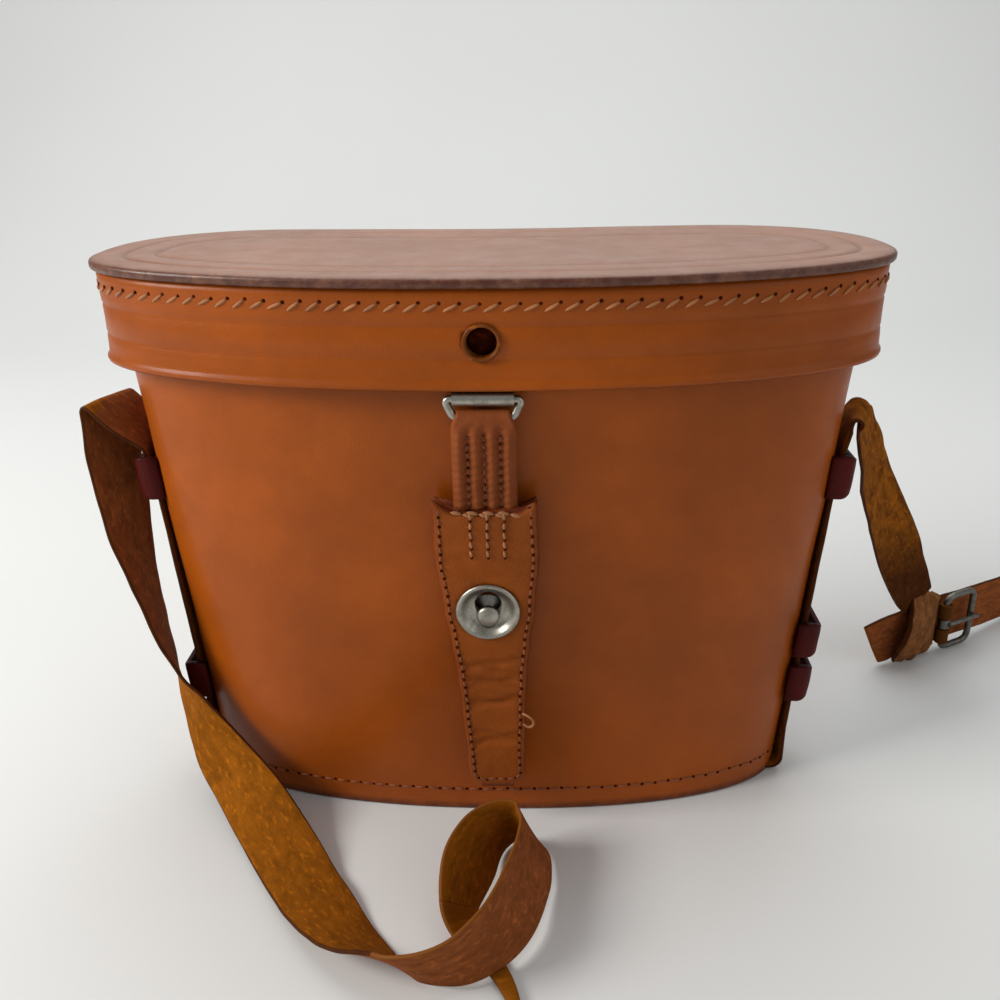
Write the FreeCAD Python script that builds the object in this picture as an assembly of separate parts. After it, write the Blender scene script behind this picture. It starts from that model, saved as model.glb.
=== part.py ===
"""Hard leather case for a binocular, with a telescoping lid and a stud latch.

Millimetres, +Z up. The origin is on the ground under the middle of the closed case,
and the latch faces -Y. Fronts and backs of the plans are counted from their widest line, which lies
a little behind the origin.
"""
import FreeCAD, Part
import math
import os
from FreeCAD import Vector

# Lid plan: half width, depths from the middle line, and how far front and back are bowed or dented
lid_half_width = 98.0
lid_front = 36.0
lid_bow = 4.2
lid_back = 50.5
lid_dent = 16.6
lid_power_share = 2.46

# Base plan, smaller than the lid because the case tapers
base_half_width = 82.9
base_front = 27.2
base_bow = 0.0
base_back = 36.0
base_dent = 9.0
base_power_share = 2.2

# Heights
case_height = 152.0
lid_skirt = 25.5
rim_below_lid_top = 6.0
foot_recess = 2.8

# Leather and board thicknesses
body_wall = 3.0
lid_wall = 2.6
top_panel = 2.4
base_panel = 3.0
lining = 0.8
patch_leather = 1.5
running_gap = 0.3
glue_gap = 0.05
cut_over = 1.0

# Lid fit and detail
lid_gap = 2.6
neck_taper = 1.8
top_overhang = 1.3
waist = 0.7
waist_share = 0.4
pressed_line_depth = 0.5
pressed_line_width = 1.1
pressed_line_insets = (7.0, 14.5)

# Eyelet through the lid front
eyelet_below_top = 14.3
eyelet_bore = 3.2
eyelet_barrel = 0.5
eyelet_flange = 4.4
eyelet_crown = 0.7
eyelet_clench = 0.4

# Latch hardware
loop_wire = 0.95
loop_top_half = 8.85
loop_bottom_half = 6.85
loop_drop = 4.5
loop_bend = 1.1
chape_sheet = 0.6
chape_half = 7.0
chape_above_eyelet = 5.6
tube_bore_gap = 0.1
tube_below_lid = 2.0

# Elastic tab: a folded leather with four stitched channels, each over a spring
tab_half = 7.6
tab_neck_half = 5.75
tab_leather = 1.1
tab_crest = 2.25
tab_pinch = 1.35
tab_shoulder = 1.5
tab_channel_end = 19.5
tab_tail_half = 1.15
tab_tail_end = 33.0
channel_count = 4
spring_outer = 1.0
spring_wall = 0.35
spring_gap = 0.12
spring_start = 3.4
spring_end = 19.0

# Latch strap: two layers sewn together, its outline as half widths at distances below the loop
strap_layer = 1.6
strap_ear_top = 19.4
strap_dip = 22.4
strap_ear_half = 11.5
strap_shoulder_down = 36.0
strap_shoulder_half = 11.8
strap_waist_down = 58.5
strap_waist_half = 10.0
strap_stem_down = 75.0
strap_stem_half = 8.2
strap_end_down = 105.5
strap_end_half = 7.7
strap_end_round = 3.0
pocket_end = 34.0
pocket_close = 41.0

# Keyhole plate and stud
plate_down = 50.7
plate_outer = 8.0
plate_cup = 5.6
plate_barrel = 0.6
plate_floor = 0.6
plate_floor_half = 5.0
plate_crown = 1.0
plate_roll = 0.7
keyhole_radius = 3.2
keyhole_rise = 1.6
notch_half = 1.6
notch_drop = 4.9
backing_ring = 0.5
stud_drop = 1.7
stud_head = 2.9
stud_head_height = 1.5
stud_neck = 1.35
stud_flange = 4.4
stud_flange_height = 0.8
stud_washer = 5.0
stud_washer_height = 0.6

# Back hinge of soft leather
hinge_half = 30.0
hinge_behind_dent = 0.8
hinge_leaf_above = 17.0
hinge_leaf_below = 22.0
hinge_fold_drop = 7.0
hinge_fold_rise = 2.0

# Carrying strap
carry_half = 9.0
carry_leather = 1.8
carry_off_wall = 0.25
carry_off_ground = 0.4
carry_top = 103.0
carry_corner = 3.2
corner_steps = 4

# Keepers: band thickness, and the heights of their lower edges and their lengths
keeper_leather = 1.6
keeper_gap = 0.25
keeper_round = 1.0
keeper_leg_inside = 2.65
upper_keeper_low = 87.5
upper_keeper_tall = 13.0
lower_keeper_low = 25.0
lower_keeper_tall = 12.5
second_keeper_low = 39.5
second_keeper_tall = 11.5

# Knot of the carrying strap round its own tail
knot_start = 11.0
knot_length = 12.0
knot_gap = 0.5
knot_rise = 1.2
knot_pinch_share = 0.6

# Buckle on the carrying strap's right end
buckle_wire = 1.1
buckle_rise = 1.4
chape_fold = 1.1
buckle_half_long = 6.8
buckle_half_tall = 10.0
buckle_bend = 2.4
prong_wire = 0.8
prong_eye = 1.0
prong_past = 1.6

# How finely the plan outlines are drawn
outline_points = 36
outline_edges = 4
turn_step = 0.001


def plan_point(plan, turn):
    """Place on a plan about its widest line, where turn goes round from +X."""
    half_width, front, bow, back, dent, power = plan
    cosine = math.cos(turn)
    sine = math.sin(turn)
    x = half_width * math.copysign(abs(cosine) ** (2 / power), cosine)
    middle = (1 - (x / half_width) ** 2) ** 2
    reach = abs(sine) ** (2 / power)
    if sine > 0:
        return Vector(x, back * reach - dent * middle, 0)
    return Vector(x, -front * reach - bow * middle, 0)


# Plans, and the y of their widest line, which puts the lid's middle at the origin
lid_plan = (lid_half_width, lid_front, lid_bow, lid_back, lid_dent, lid_power_share)
base_plan = (base_half_width, base_front, base_bow, base_back, base_dent, base_power_share)
lid_depths = [plan_point(lid_plan, math.radians(angle)).y for angle in range(360)]
widest_y = -(min(lid_depths) + max(lid_depths)) / 2


def outline_point(plan, turn):
    """Place on a plan outline and the outward normal there."""
    along = plan_point(plan, turn + turn_step) - plan_point(plan, turn - turn_step)
    outward = Vector(along.y, -along.x, 0)
    return plan_point(plan, turn) + Vector(0, widest_y, 0), outward.normalize()


def outline_wire(plan, height, inset):
    """Closed smooth wire of a plan at a height, drawn in by inset, in edges of equal share."""
    points = []
    for index in range(outline_points):
        place, outward = outline_point(plan, 2 * math.pi * (index + 0.5) / outline_points)
        place = place - outward * inset
        points.append(Vector(place.x, place.y, height))
    curve = Part.BSplineCurve()
    curve.interpolate(Points=points, PeriodicFlag=True)
    low = curve.FirstParameter
    step = (curve.LastParameter - low) / outline_edges
    return Part.Wire([
        curve.toShape(low + step * index, low + step * (index + 1)) for index in range(outline_edges)
    ])


def solid_between(levels):
    """Solid through plan outlines, each level a plan, a height and an inset."""
    solids = []
    for low, high in zip(levels, levels[1:]):
        wires = [outline_wire(*low), outline_wire(*high)]
        solids.append(Part.makeLoft(wires, True, True))
    if len(solids) == 1:
        return solids[0]
    return solids[0].multiFuse(solids[1:])


def shifted(levels, inset):
    """The same levels, drawn in further by inset."""
    return [(plan, height, drawn + inset) for plan, height, drawn in levels]


def sleeve(levels, outer, inner):
    """Tube between two insets of the same levels."""
    low_plan, low_height, low_drawn = levels[0]
    high_plan, high_height, high_drawn = levels[-1]
    cutter = list(levels)
    cutter[0] = (low_plan, low_height - cut_over, low_drawn)
    cutter[-1] = (high_plan, high_height + cut_over, high_drawn)
    return solid_between(shifted(levels, outer)).cut(solid_between(shifted(cutter, inner)))


def block(x_low, x_high, y_low, y_high, z_low, z_high):
    """Box from its low and high corners."""
    return Part.makeBox(x_high - x_low, y_high - y_low, z_high - z_low, Vector(x_low, y_low, z_low))


def rod(start, end, radius):
    """Round bar between two places."""
    return Part.makeCylinder(radius, (end - start).Length, start, end - start)


def turned(profile, centre, axis, side):
    """Solid of revolution from radius and height pairs, about an axis through centre."""
    points = [centre + side * radius + axis * height for radius, height in profile]
    face = Part.Face(Part.makePolygon(points + [points[0]]))
    return face.revolve(centre, axis, 360)


def rounded_path(points, radius, closed):
    """Wire of straight runs joined by arcs of one radius."""
    count = len(points)
    edges = []
    corners = range(count) if closed else range(1, count - 1)
    last = None if closed else points[0]
    first = None
    for index in corners:
        corner = points[index]
        back = (points[index - 1] - corner).normalize()
        ahead = (points[(index + 1) % count] - corner).normalize()
        half_turn = math.acos(max(-1, min(1, back.dot(ahead)))) / 2
        trim = radius / math.tan(half_turn)
        middle = (back + ahead).normalize() * (radius / math.sin(half_turn) - radius)
        start = corner + back * trim
        end = corner + ahead * trim
        if last is not None:
            edges.append(Part.LineSegment(last, start).toShape())
        edges.append(Part.Arc(start, corner + middle, end).toShape())
        first = first or start
        last = end
    edges.append(Part.LineSegment(last, first if closed else points[-1]).toShape())
    return Part.Wire(edges)


def pipe(path, radius):
    """Round wire along a path."""
    edge = path.Edges[0]
    start = edge.valueAt(edge.FirstParameter)
    along = edge.tangentAt(edge.FirstParameter)
    ring = Part.Wire([Part.Circle(start, along, radius).toShape()])
    return path.makePipeShell([ring], True, False)


def extruded(points, direction):
    """Solid from a flat polygon pushed along a direction."""
    return Part.Face(Part.makePolygon(points + [points[0]])).extrude(direction)


def strap_sections(stations, thickness):
    """Cross sections of a flat strap at its stations: centre, direction across it and half width."""
    wires = []
    count = len(stations)
    for index, (centre, across, half) in enumerate(stations):
        ahead = stations[min(index + 1, count - 1)][0]
        behind = stations[max(index - 1, 0)][0]
        along = (ahead - behind).normalize()
        normal = along.cross(across).normalize()
        across = normal.cross(along).normalize()
        corners = []
        for wide, thick in ((-1, -1), (1, -1), (1, 1), (-1, 1)):
            corners.append(centre + across * (wide * half) + normal * (thick * thickness / 2))
        wires.append(Part.makePolygon(corners + [corners[0]]))
    return wires


def ribbon(wires):
    """Flat strap through its cross sections, with straight edges between them."""
    faces = [Part.Face(wires[0]), Part.Face(wires[-1])]
    for low, high in zip(wires, wires[1:]):
        for low_edge, high_edge in zip(low.Edges, high.Edges):
            faces.append(Part.makeRuledSurface(low_edge, high_edge))
    shell = Part.makeShell(faces)
    shell.sewShape()
    return Part.makeSolid(shell)


# Heights and places worked out from the sizes
lid_low = case_height - lid_skirt
panel_low = case_height - top_panel
rim_high = case_height - rim_below_lid_top
shoulder = lid_low - running_gap
body_inset = lid_wall + lid_gap
front_of_lid = widest_y - lid_front - lid_bow
dent_of_lid = widest_y + lid_back - lid_dent
body_top_half = lid_half_width - body_inset
body_top_front = front_of_lid + body_inset
body_top_dent = dent_of_lid - body_inset

body_levels = [
    (base_plan, 0, 0),
    (lid_plan, shoulder, body_inset),
    (lid_plan, rim_high, body_inset + neck_taper),
]


def wall_half(height):
    """Half width of the body at a height under the lid."""
    return base_half_width + (body_top_half - base_half_width) * height / shoulder


def wall_front(height):
    """Y of the body's front at its middle, at a height under the lid."""
    base = widest_y - base_front - base_bow
    return base + (body_top_front - base) * height / shoulder


# Latch places: the loop's two bars, and the strap's lean, along the front wall
loop_y = front_of_lid + lid_wall + glue_gap - loop_wire - tube_bore_gap
top_bar = Vector(0, loop_y, lid_low - tube_below_lid)
low_bar = top_bar - Vector(0, 0, loop_drop)
lean = math.atan2(wall_front(0) - wall_front(shoulder), shoulder)
down = Vector(0, math.sin(lean), -math.cos(lean))
out = Vector(0, -math.cos(lean), -math.sin(lean))
right = Vector(1, 0, 0)


def on_latch(x, distance, stand):
    """Place on the latch: across, down from the low bar, and out from the strap's mid plane."""
    return low_bar + right * x + down * distance + out * stand


plate_centre = on_latch(0, plate_down, 0)
stud_centre = on_latch(0, plate_down + stud_drop, 0)
stud_wall = (wall_front(stud_centre.z) - stud_centre.y) / out.y
hinge_y = dent_of_lid + hinge_behind_dent


def make_body_shell():
    """Tapered wall with slits for the keepers, notches under the strap and the stud's hole."""
    shell = sleeve(body_levels, 0, body_wall)
    notch = carry_half + running_gap
    high = carry_off_ground + carry_leather / 2 + carry_corner
    edge = base_half_width + cut_over
    for side in (-1, 1):
        inner = side * (base_half_width - 4 * body_wall)
        low_x, high_x = sorted((inner, side * edge))
        shell = shell.cut(block(low_x, high_x, widest_y - notch, widest_y + notch, -cut_over, high))
    for side, low, tall in keepers.values():
        for leg in keeper_legs(side, low, tall, glue_gap, cut_over):
            shell = shell.cut(leg)
    return shell.cut(stud_hole(stud_neck + glue_gap))


def stud_hole(radius):
    """Round cutter through the front wall at the stud."""
    start = stud_centre + out * (stud_wall + cut_over)
    return rod(start, start - out * (2 * body_wall + cut_over), radius)


def make_base_panel():
    """Board set into the wall above the foot rim."""
    low = foot_recess
    high = foot_recess + base_panel
    return inside_slab(low, high, body_wall + glue_gap)


def inside_slab(low, high, inset):
    """Slab that fills the body's inside between two heights."""
    core = solid_between(shifted(body_levels[:2], inset))
    edge = lid_half_width
    return core.common(block(-edge, edge, -edge, edge, low, high))


def make_body_lining():
    """Cloth lining on the wall, from the base panel to just under the rim."""
    low = foot_recess + base_panel + lining
    tube = sleeve(body_levels, body_wall + glue_gap, body_wall + glue_gap + lining)
    edge = lid_half_width
    tube = tube.common(block(-edge, edge, -edge, edge, low, rim_high - lining))
    return tube.cut(stud_hole(stud_washer + running_gap))


def make_base_lining():
    """Cloth on the base panel."""
    low = foot_recess + base_panel
    return inside_slab(low, low + lining, body_wall + glue_gap)


def make_lid_wall():
    """Lid skirt, slightly waisted, with the eyelet's hole."""
    waist_height = lid_low + waist_share * lid_skirt
    levels = [(lid_plan, lid_low, 0), (lid_plan, waist_height, waist), (lid_plan, panel_low, 0)]
    skirt = solid_between(levels).cut(solid_between([
        (lid_plan, lid_low - cut_over, lid_wall),
        (lid_plan, panel_low + cut_over, lid_wall),
    ]))
    return skirt.cut(eyelet_hole())


def eyelet_centre():
    """Middle of the eyelet on the lid's outer face."""
    return Vector(0, front_of_lid, case_height - eyelet_below_top)


def eyelet_hole():
    """Hole that the eyelet's barrel fills."""
    centre = eyelet_centre()
    start = centre - Vector(0, cut_over, 0)
    end = centre + Vector(0, lid_wall + chape_sheet + cut_over, 0)
    return rod(start, end, eyelet_bore + eyelet_barrel + glue_gap)


def make_lid_top():
    """Top panel over the skirt, with two pressed lines round it."""
    panel = solid_between([(lid_plan, panel_low, -top_overhang), (lid_plan, case_height, -top_overhang)])
    for inset in pressed_line_insets:
        ring = sleeve(
            [(lid_plan, case_height - pressed_line_depth, 0), (lid_plan, case_height + cut_over, 0)],
            inset, inset + pressed_line_width)
        panel = panel.cut(ring)
    return panel


def make_lid_lining():
    """Cloth inside the lid, open where the loop's plate lies."""
    inset = lid_wall + glue_gap
    high = panel_low - glue_gap
    low = rim_high - neck_taper
    band = sleeve([(lid_plan, low, 0), (lid_plan, high, 0)], inset, inset + lining)
    window = chape_half + running_gap
    band = band.cut(block(-window, window, front_of_lid - cut_over, 0, low - cut_over, high - lining))
    roof = solid_between([(lid_plan, high - lining, inset + lining), (lid_plan, high, inset + lining)])
    return band.fuse(roof)


def make_eyelet():
    """Lacquered eyelet, clenched behind the loop's plate."""
    depth = lid_wall + glue_gap + chape_sheet
    inner = eyelet_bore
    outer = eyelet_bore + eyelet_barrel
    mid = (inner + eyelet_flange) / 2
    profile = [
        (inner, eyelet_crown / 2), (mid, eyelet_crown), (eyelet_flange, eyelet_crown / 4), (eyelet_flange, 0),
        (outer, 0), (outer, -depth), (eyelet_flange, -depth), (eyelet_flange, -depth - eyelet_clench),
        (inner, -depth - eyelet_clench),
    ]
    return turned(profile, eyelet_centre(), Vector(0, -1, 0), Vector(1, 0, 0))


def make_loop_chape():
    """Sheet plate inside the lid, rolled at its foot round the loop's top bar."""
    outer = front_of_lid + lid_wall + glue_gap
    high = case_height - eyelet_below_top + chape_above_eyelet
    plate = block(-chape_half, chape_half, outer, outer + chape_sheet, top_bar.z, high)
    plate = plate.cut(eyelet_hole())
    bore = loop_wire + tube_bore_gap
    ends = Vector(chape_half, 0, 0)
    tube = rod(top_bar - ends, top_bar + ends, bore + chape_sheet)
    over = Vector(chape_half + cut_over, 0, 0)
    return plate.fuse(tube).cut(rod(top_bar - over, top_bar + over, bore))


def make_wire_loop():
    """Bent wire loop that carries the tab."""
    corners = [
        top_bar + right * loop_top_half, low_bar + right * loop_bottom_half,
        low_bar - right * loop_bottom_half, top_bar - right * loop_top_half,
    ]
    return pipe(rounded_path(corners, loop_bend, True), loop_wire)


def channel_places():
    """Middle of each channel across the tab."""
    pitch = 2 * tab_half / channel_count
    return [-tab_half + pitch * (index + 0.5) for index in range(channel_count)]


def make_latch_tab():
    """Folded leather tab: a loop round the low bar, sewn channels, and a flat tail in the strap."""
    pitch = 2 * tab_half / channel_count

    def edge_point(x, stand):
        return on_latch(x, tab_shoulder, stand)

    front = []
    back = []
    for place in channel_places():
        low = place - pitch / 2
        high = place + pitch / 2
        bulge = (edge_point(low, tab_pinch), edge_point(place, tab_crest), edge_point(high, tab_pinch))
        hollow = (edge_point(high, -tab_pinch), edge_point(place, -tab_crest), edge_point(low, -tab_pinch))
        front.append(Part.Arc(*bulge).toShape())
        back.insert(0, Part.Arc(*hollow).toShape())
    right_side = Part.LineSegment(edge_point(tab_half, tab_pinch), edge_point(tab_half, -tab_pinch))
    left_side = Part.LineSegment(edge_point(-tab_half, -tab_pinch), edge_point(-tab_half, tab_pinch))
    section = Part.Wire(front + [right_side.toShape()] + back + [left_side.toShape()])
    channels = Part.Face(section).extrude(down * (tab_channel_end - tab_shoulder))
    bore = loop_wire + tube_bore_gap
    fold = rod(on_latch(-tab_neck_half, 0, 0), on_latch(tab_neck_half, 0, 0), bore + tab_leather)
    neck_depth = bore + tab_leather
    neck = extruded([
        on_latch(-tab_neck_half, 0, -neck_depth), on_latch(-tab_neck_half, 0, neck_depth),
        on_latch(-tab_neck_half, tab_shoulder + loop_wire, neck_depth),
        on_latch(-tab_neck_half, tab_shoulder + loop_wire, -neck_depth),
    ], right * (2 * tab_neck_half))
    tail = extruded([
        on_latch(-tab_half, tab_channel_end, -tab_tail_half),
        on_latch(-tab_half, tab_channel_end, tab_tail_half),
        on_latch(-tab_half, tab_tail_end, tab_tail_half),
        on_latch(-tab_half, tab_tail_end, -tab_tail_half),
    ], right * (2 * tab_half))
    tab = channels.multiFuse([fold, neck, tail])
    tab = tab.cut(rod(on_latch(-tab_half, 0, 0), on_latch(tab_half, 0, 0), bore))
    for place in channel_places():
        start = on_latch(place, spring_start - spring_gap, 0)
        end = on_latch(place, spring_end + spring_gap, 0)
        tab = tab.cut(rod(start, end, spring_outer + spring_gap))
    return tab


def make_tab_springs():
    """Four closed coil springs in the channels, each as a plain tube of its own size."""
    springs = []
    for place in channel_places():
        start = on_latch(place, spring_start, 0)
        end = on_latch(place, spring_end, 0)
        bore = rod(start - down * cut_over, end + down * cut_over, spring_outer - spring_wall)
        springs.append(rod(start, end, spring_outer).cut(bore))
    return Part.makeCompound(springs)


def strap_blank(stand_low, stand_high):
    """Block in the latch strap's outline between two distances from its mid plane."""
    round_start = strap_end_down - strap_end_round
    right_edge = [
        (0, strap_dip), (tab_half, strap_dip), (strap_ear_half, strap_ear_top),
        (strap_shoulder_half, strap_shoulder_down), (strap_waist_half, strap_waist_down),
        (strap_stem_half, strap_stem_down), (strap_end_half, round_start),
        (strap_end_half - strap_end_round, strap_end_down),
    ]
    left_edge = [(-x, distance) for x, distance in reversed(right_edge[1:])]
    points = [on_latch(x, distance, stand_low) for x, distance in right_edge + left_edge]
    return extruded(points, out * (stand_high - stand_low))


def make_strap_layer(side):
    """One leather layer of the latch strap; side 1 is the front and -1 the back."""
    spread = tab_tail_half + running_gap
    seam = glue_gap / 2
    profile = [
        (strap_ear_top - cut_over, spread), (pocket_end, spread), (pocket_close, seam),
        (strap_end_down + cut_over, seam), (strap_end_down + cut_over, seam + strap_layer),
        (pocket_close, seam + strap_layer), (pocket_end, spread + strap_layer),
        (strap_ear_top - cut_over, spread + strap_layer),
    ]
    start = -2 * strap_shoulder_half
    points = [on_latch(start, distance, side * stand) for distance, stand in profile]
    bent = extruded(points, right * (4 * strap_shoulder_half))
    reach = 2 * (spread + strap_layer)
    layer = bent.common(strap_blank(-reach, reach))
    hole = plate_cup + plate_barrel + glue_gap
    return layer.cut(rod(plate_centre - out * reach, plate_centre + out * reach, hole))


def make_keyhole_plate():
    """Dished plate: a crown over the leather, a cup through it, and a floor with the keyhole."""
    face = glue_gap / 2 + strap_layer
    barrel = plate_cup + plate_barrel
    crown = face + plate_crown
    back = -face - backing_ring
    clenched = back - plate_roll / 2
    profile = [
        (0, 0), (plate_cup, 0), (plate_cup, clenched), (barrel + plate_roll, clenched),
        (barrel + plate_roll, back), (barrel, back), (barrel, face), (plate_outer, face),
        (plate_outer - plate_roll / 2, face + plate_crown / 2), (plate_outer - 2 * plate_roll, crown),
        (plate_cup, face), (plate_floor_half, plate_floor), (0, plate_floor),
    ]
    plate = turned(profile, plate_centre, out, right)
    hole_centre = plate_centre - down * keyhole_rise
    reach = out * (plate_floor + cut_over)
    hole = rod(hole_centre - reach, hole_centre + reach, keyhole_radius)
    notch_end = plate_centre + down * (notch_drop - notch_half)
    notch = rod(notch_end - reach, notch_end + reach, notch_half)
    slot = extruded([
        hole_centre - right * notch_half - reach, hole_centre + right * notch_half - reach,
        notch_end + right * notch_half - reach, notch_end - right * notch_half - reach,
    ], reach * 2)
    return plate.cut(hole.multiFuse([notch, slot]))


def make_plate_backing():
    """Ring behind the strap, over which the plate's barrel is clenched."""
    face = glue_gap / 2 + strap_layer
    start = plate_centre - out * face
    end = start - out * backing_ring
    hole = rod(start + out * cut_over, end - out * cut_over, plate_cup + plate_barrel + glue_gap)
    return rod(start, end, plate_outer).cut(hole)


def make_catch_stud():
    """Mushroom stud riveted through the front wall."""
    head_low = plate_floor + running_gap
    rivet = stud_wall - body_wall - stud_washer_height * 1.5
    seat = stud_wall + glue_gap
    profile = [
        (0, head_low + stud_head_height), (stud_head / 2, head_low + stud_head_height),
        (stud_head, head_low + stud_head_height / 3), (stud_head, head_low), (stud_neck, head_low),
        (stud_neck, seat + stud_flange_height), (stud_flange, seat + stud_flange_height / 2),
        (stud_flange, seat), (stud_neck, seat), (stud_neck, rivet), (0, rivet),
    ]
    return turned(profile, stud_centre, out, right)


def make_stud_washer():
    """Washer inside the wall under the stud's riveted end."""
    start = stud_centre + out * (stud_wall - body_wall - glue_gap)
    end = start - out * stud_washer_height
    hole = rod(start + out * cut_over, end - out * cut_over, stud_neck + glue_gap)
    return rod(start, end, stud_washer).cut(hole)


def back_band(levels, outer, inner, low, high):
    """Piece of a sleeve over the middle of the back, between two heights."""
    edge = lid_half_width
    return sleeve(levels, outer, inner).common(block(-hinge_half, hinge_half, 0, edge, low, high))


def make_hinge_upper():
    """Hinge leather sewn on the lid's back."""
    levels = [(lid_plan, lid_low + hinge_fold_rise, 0), (lid_plan, lid_low + hinge_leaf_above, 0)]
    return back_band(levels, -glue_gap - patch_leather, -glue_gap, levels[0][1], levels[1][1])


def make_hinge_lower():
    """Hinge leather sewn on the body's back."""
    high = lid_low - hinge_fold_drop
    return back_band(body_levels[:2], -glue_gap - patch_leather, -glue_gap, high - hinge_leaf_below, high)


def make_hinge_fold():
    """Free fold of the hinge leather between its two leaves."""
    low = lid_low - hinge_fold_drop
    base_y = widest_y + base_back - base_dent
    low_y = base_y + (body_top_dent - base_y) * low / shoulder
    bend = lid_low - running_gap - glue_gap
    high = lid_low + hinge_fold_rise
    levels = [(lid_plan, low, dent_of_lid - low_y), (lid_plan, bend - patch_leather, 0), (lid_plan, high, 0)]
    return back_band(levels, -glue_gap - patch_leather, -glue_gap, low, high)


def keeper_legs(side, low, tall, gap, over):
    """The two legs of a keeper, grown by gap, from the wall's inside out to its crown."""
    high = low + tall
    legs = []
    leg_near = carry_half + keeper_gap
    leg_far = leg_near + keeper_leather
    for hand in (-1, 1):
        y_low, y_high = sorted((widest_y + hand * (leg_near - gap), widest_y + hand * (leg_far + gap)))
        inner = keeper_leg_inside
        points = []
        for height, reach in ((low - gap, -inner - over), (low - gap, keeper_reach() + over),
                              (high + gap, keeper_reach() + over), (high + gap, -inner - over)):
            points.append(Vector(side * (wall_half(height) + reach), y_low, height))
        legs.append(extruded(points, Vector(0, y_high - y_low, 0)))
    return legs


def keeper_reach():
    """How far a keeper's crown stands out from the wall's end."""
    return carry_off_wall + carry_leather + keeper_gap + keeper_leather


keepers = {
    "keeper_left_upper": (-1, upper_keeper_low, upper_keeper_tall),
    "keeper_left_lower": (-1, lower_keeper_low, lower_keeper_tall),
    "keeper_right_upper": (1, upper_keeper_low, upper_keeper_tall),
    "keeper_right_middle": (1, second_keeper_low, second_keeper_tall),
    "keeper_right_lower": (1, lower_keeper_low, lower_keeper_tall),
}


def make_keeper(side, low, tall):
    """Leather loop over the strap, its legs let into slits in the wall."""
    high = low + tall
    half = carry_half + keeper_gap + keeper_leather
    points = []
    outer = keeper_reach()
    inner = outer - keeper_leather
    for height, reach in ((low, inner), (low, outer), (high, outer), (high, inner)):
        points.append(Vector(side * (wall_half(height) + reach), widest_y - half, height))
    crown = extruded(points, Vector(0, 2 * half, 0))
    loop = crown.multiFuse(keeper_legs(side, low, tall, 0, 0))
    loop = loop.makeFillet(keeper_round, crown_edges(loop, side, low, high, half))
    return loop.cut(solid_between(shifted(body_levels[:2], body_wall)))


def crown_edges(loop, side, low, high, half):
    """The two long outer edges of a keeper's crown."""
    found = []
    for edge in loop.Edges:
        middle = edge.valueAt((edge.FirstParameter + edge.LastParameter) / 2)
        crown_x = wall_half(middle.z) + keeper_reach()
        upright = abs(edge.Vertexes[0].Z - edge.Vertexes[-1].Z) > (high - low) / 2
        at_side = abs(abs(middle.y - widest_y) - half) < glue_gap
        at_crown = abs(side * middle.x - crown_x) < glue_gap
        if upright and at_side and at_crown:
            found.append(edge)
    return found


def side_centre(side, height):
    """Middle of the carrying strap on the case's side at a height."""
    return Vector(side * (wall_half(height) + carry_off_wall + carry_leather / 2), widest_y, height)


def side_run_stations():
    """The strap down both sides and under the case, through the notches in the foot rim."""
    across = Vector(0, 1, 0)
    ground = carry_off_ground + carry_leather / 2
    left = [(side_centre(-1, carry_top), across, carry_half)]
    turn_centre = side_centre(-1, ground + carry_corner) + Vector(carry_corner, 0, 0)
    for index in range(corner_steps + 1):
        angle = math.pi / 2 * index / corner_steps
        reach = Vector(math.cos(angle), 0, math.sin(angle)) * carry_corner
        left.append((turn_centre - reach, across, carry_half))
    mirrored = [(Vector(-place.x, place.y, place.z), across, half) for place, across, half in reversed(left)]
    return left + mirrored


def strap_route(rows):
    """Stations from hand-chosen rows: centre from the widest line, direction across, and width share."""
    stations = []
    for x, y, z, across_x, across_yy, across_z, share in rows:
        centre = Vector(x, y + widest_y, z)
        stations.append((centre, Vector(across_x, across_yy, across_z), carry_half * share))
    return stations


# Left strap from the upper keeper over its fold and down to the ground
left_fall = [
    (-93.8, -0.9, 106.0, 3, 17.5, 0, 1),
    (-96.46, -2.25, 109.83, 6, 16.5, 0, 1),
    (-98.57, -1.48, 113.15, 6, 16.5, 0, 1),
    (-99.35, -1.2, 113.8, 6, 16.5, 0, 1),
    (-100.34, -0.84, 113.83, 6, 16.5, 0, 1),
    (-101.16, -0.54, 113.25, 6, 16.5, 0, 1),
    (-101.5, -0.42, 112.29, 6, 16.5, 0, 1),
    (-101.6, -0.38, 109.3, 6, 16.5, 0, 1),
    (-102.1, -1.0, 105.2, 7, 16, 0, 1),
    (-102.5, -2.4, 99.5, 8, 16, -2, 1),
    (-101.6, -4.4, 86.0, 7, 15, -6, 1),
    (-100.4, -5.8, 72.0, 4, 16, -8, 1),
    (-97.6, -8.0, 59.0, 0, 16, -8, 1),
    (-93.8, -10.6, 45.0, -2, 15, -10, 1),
    (-90.4, -12.4, 35.0, -5, 14, -10, 1),
]

# The same strap on the ground: flesh side up, then rolling over
left_ground = [
    (-86.8, -14.6, 26.5, -9, 9, -12, 1),
    (-80.0, -21.0, 16.4, -12, 1, -13, 1),
    (-71.6, -28.6, 10.8, -13, -3, -12, 1),
    (-64.0, -36.6, 7.2, -14, -6, -9, 1),
    (-55.2, -47.2, 3.4, -12, -13, -4, 1),
    (-46.8, -59.0, 2.2, -9, -16, 1, 1),
    (-39.0, -68.6, 3.6, -6, -16, 5, 1),
    (-31.0, -76.6, 5.4, -2, -15, 9, 1),
    (-22.0, -82.4, 8.0, 2, -12, 14, 1),
]

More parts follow.
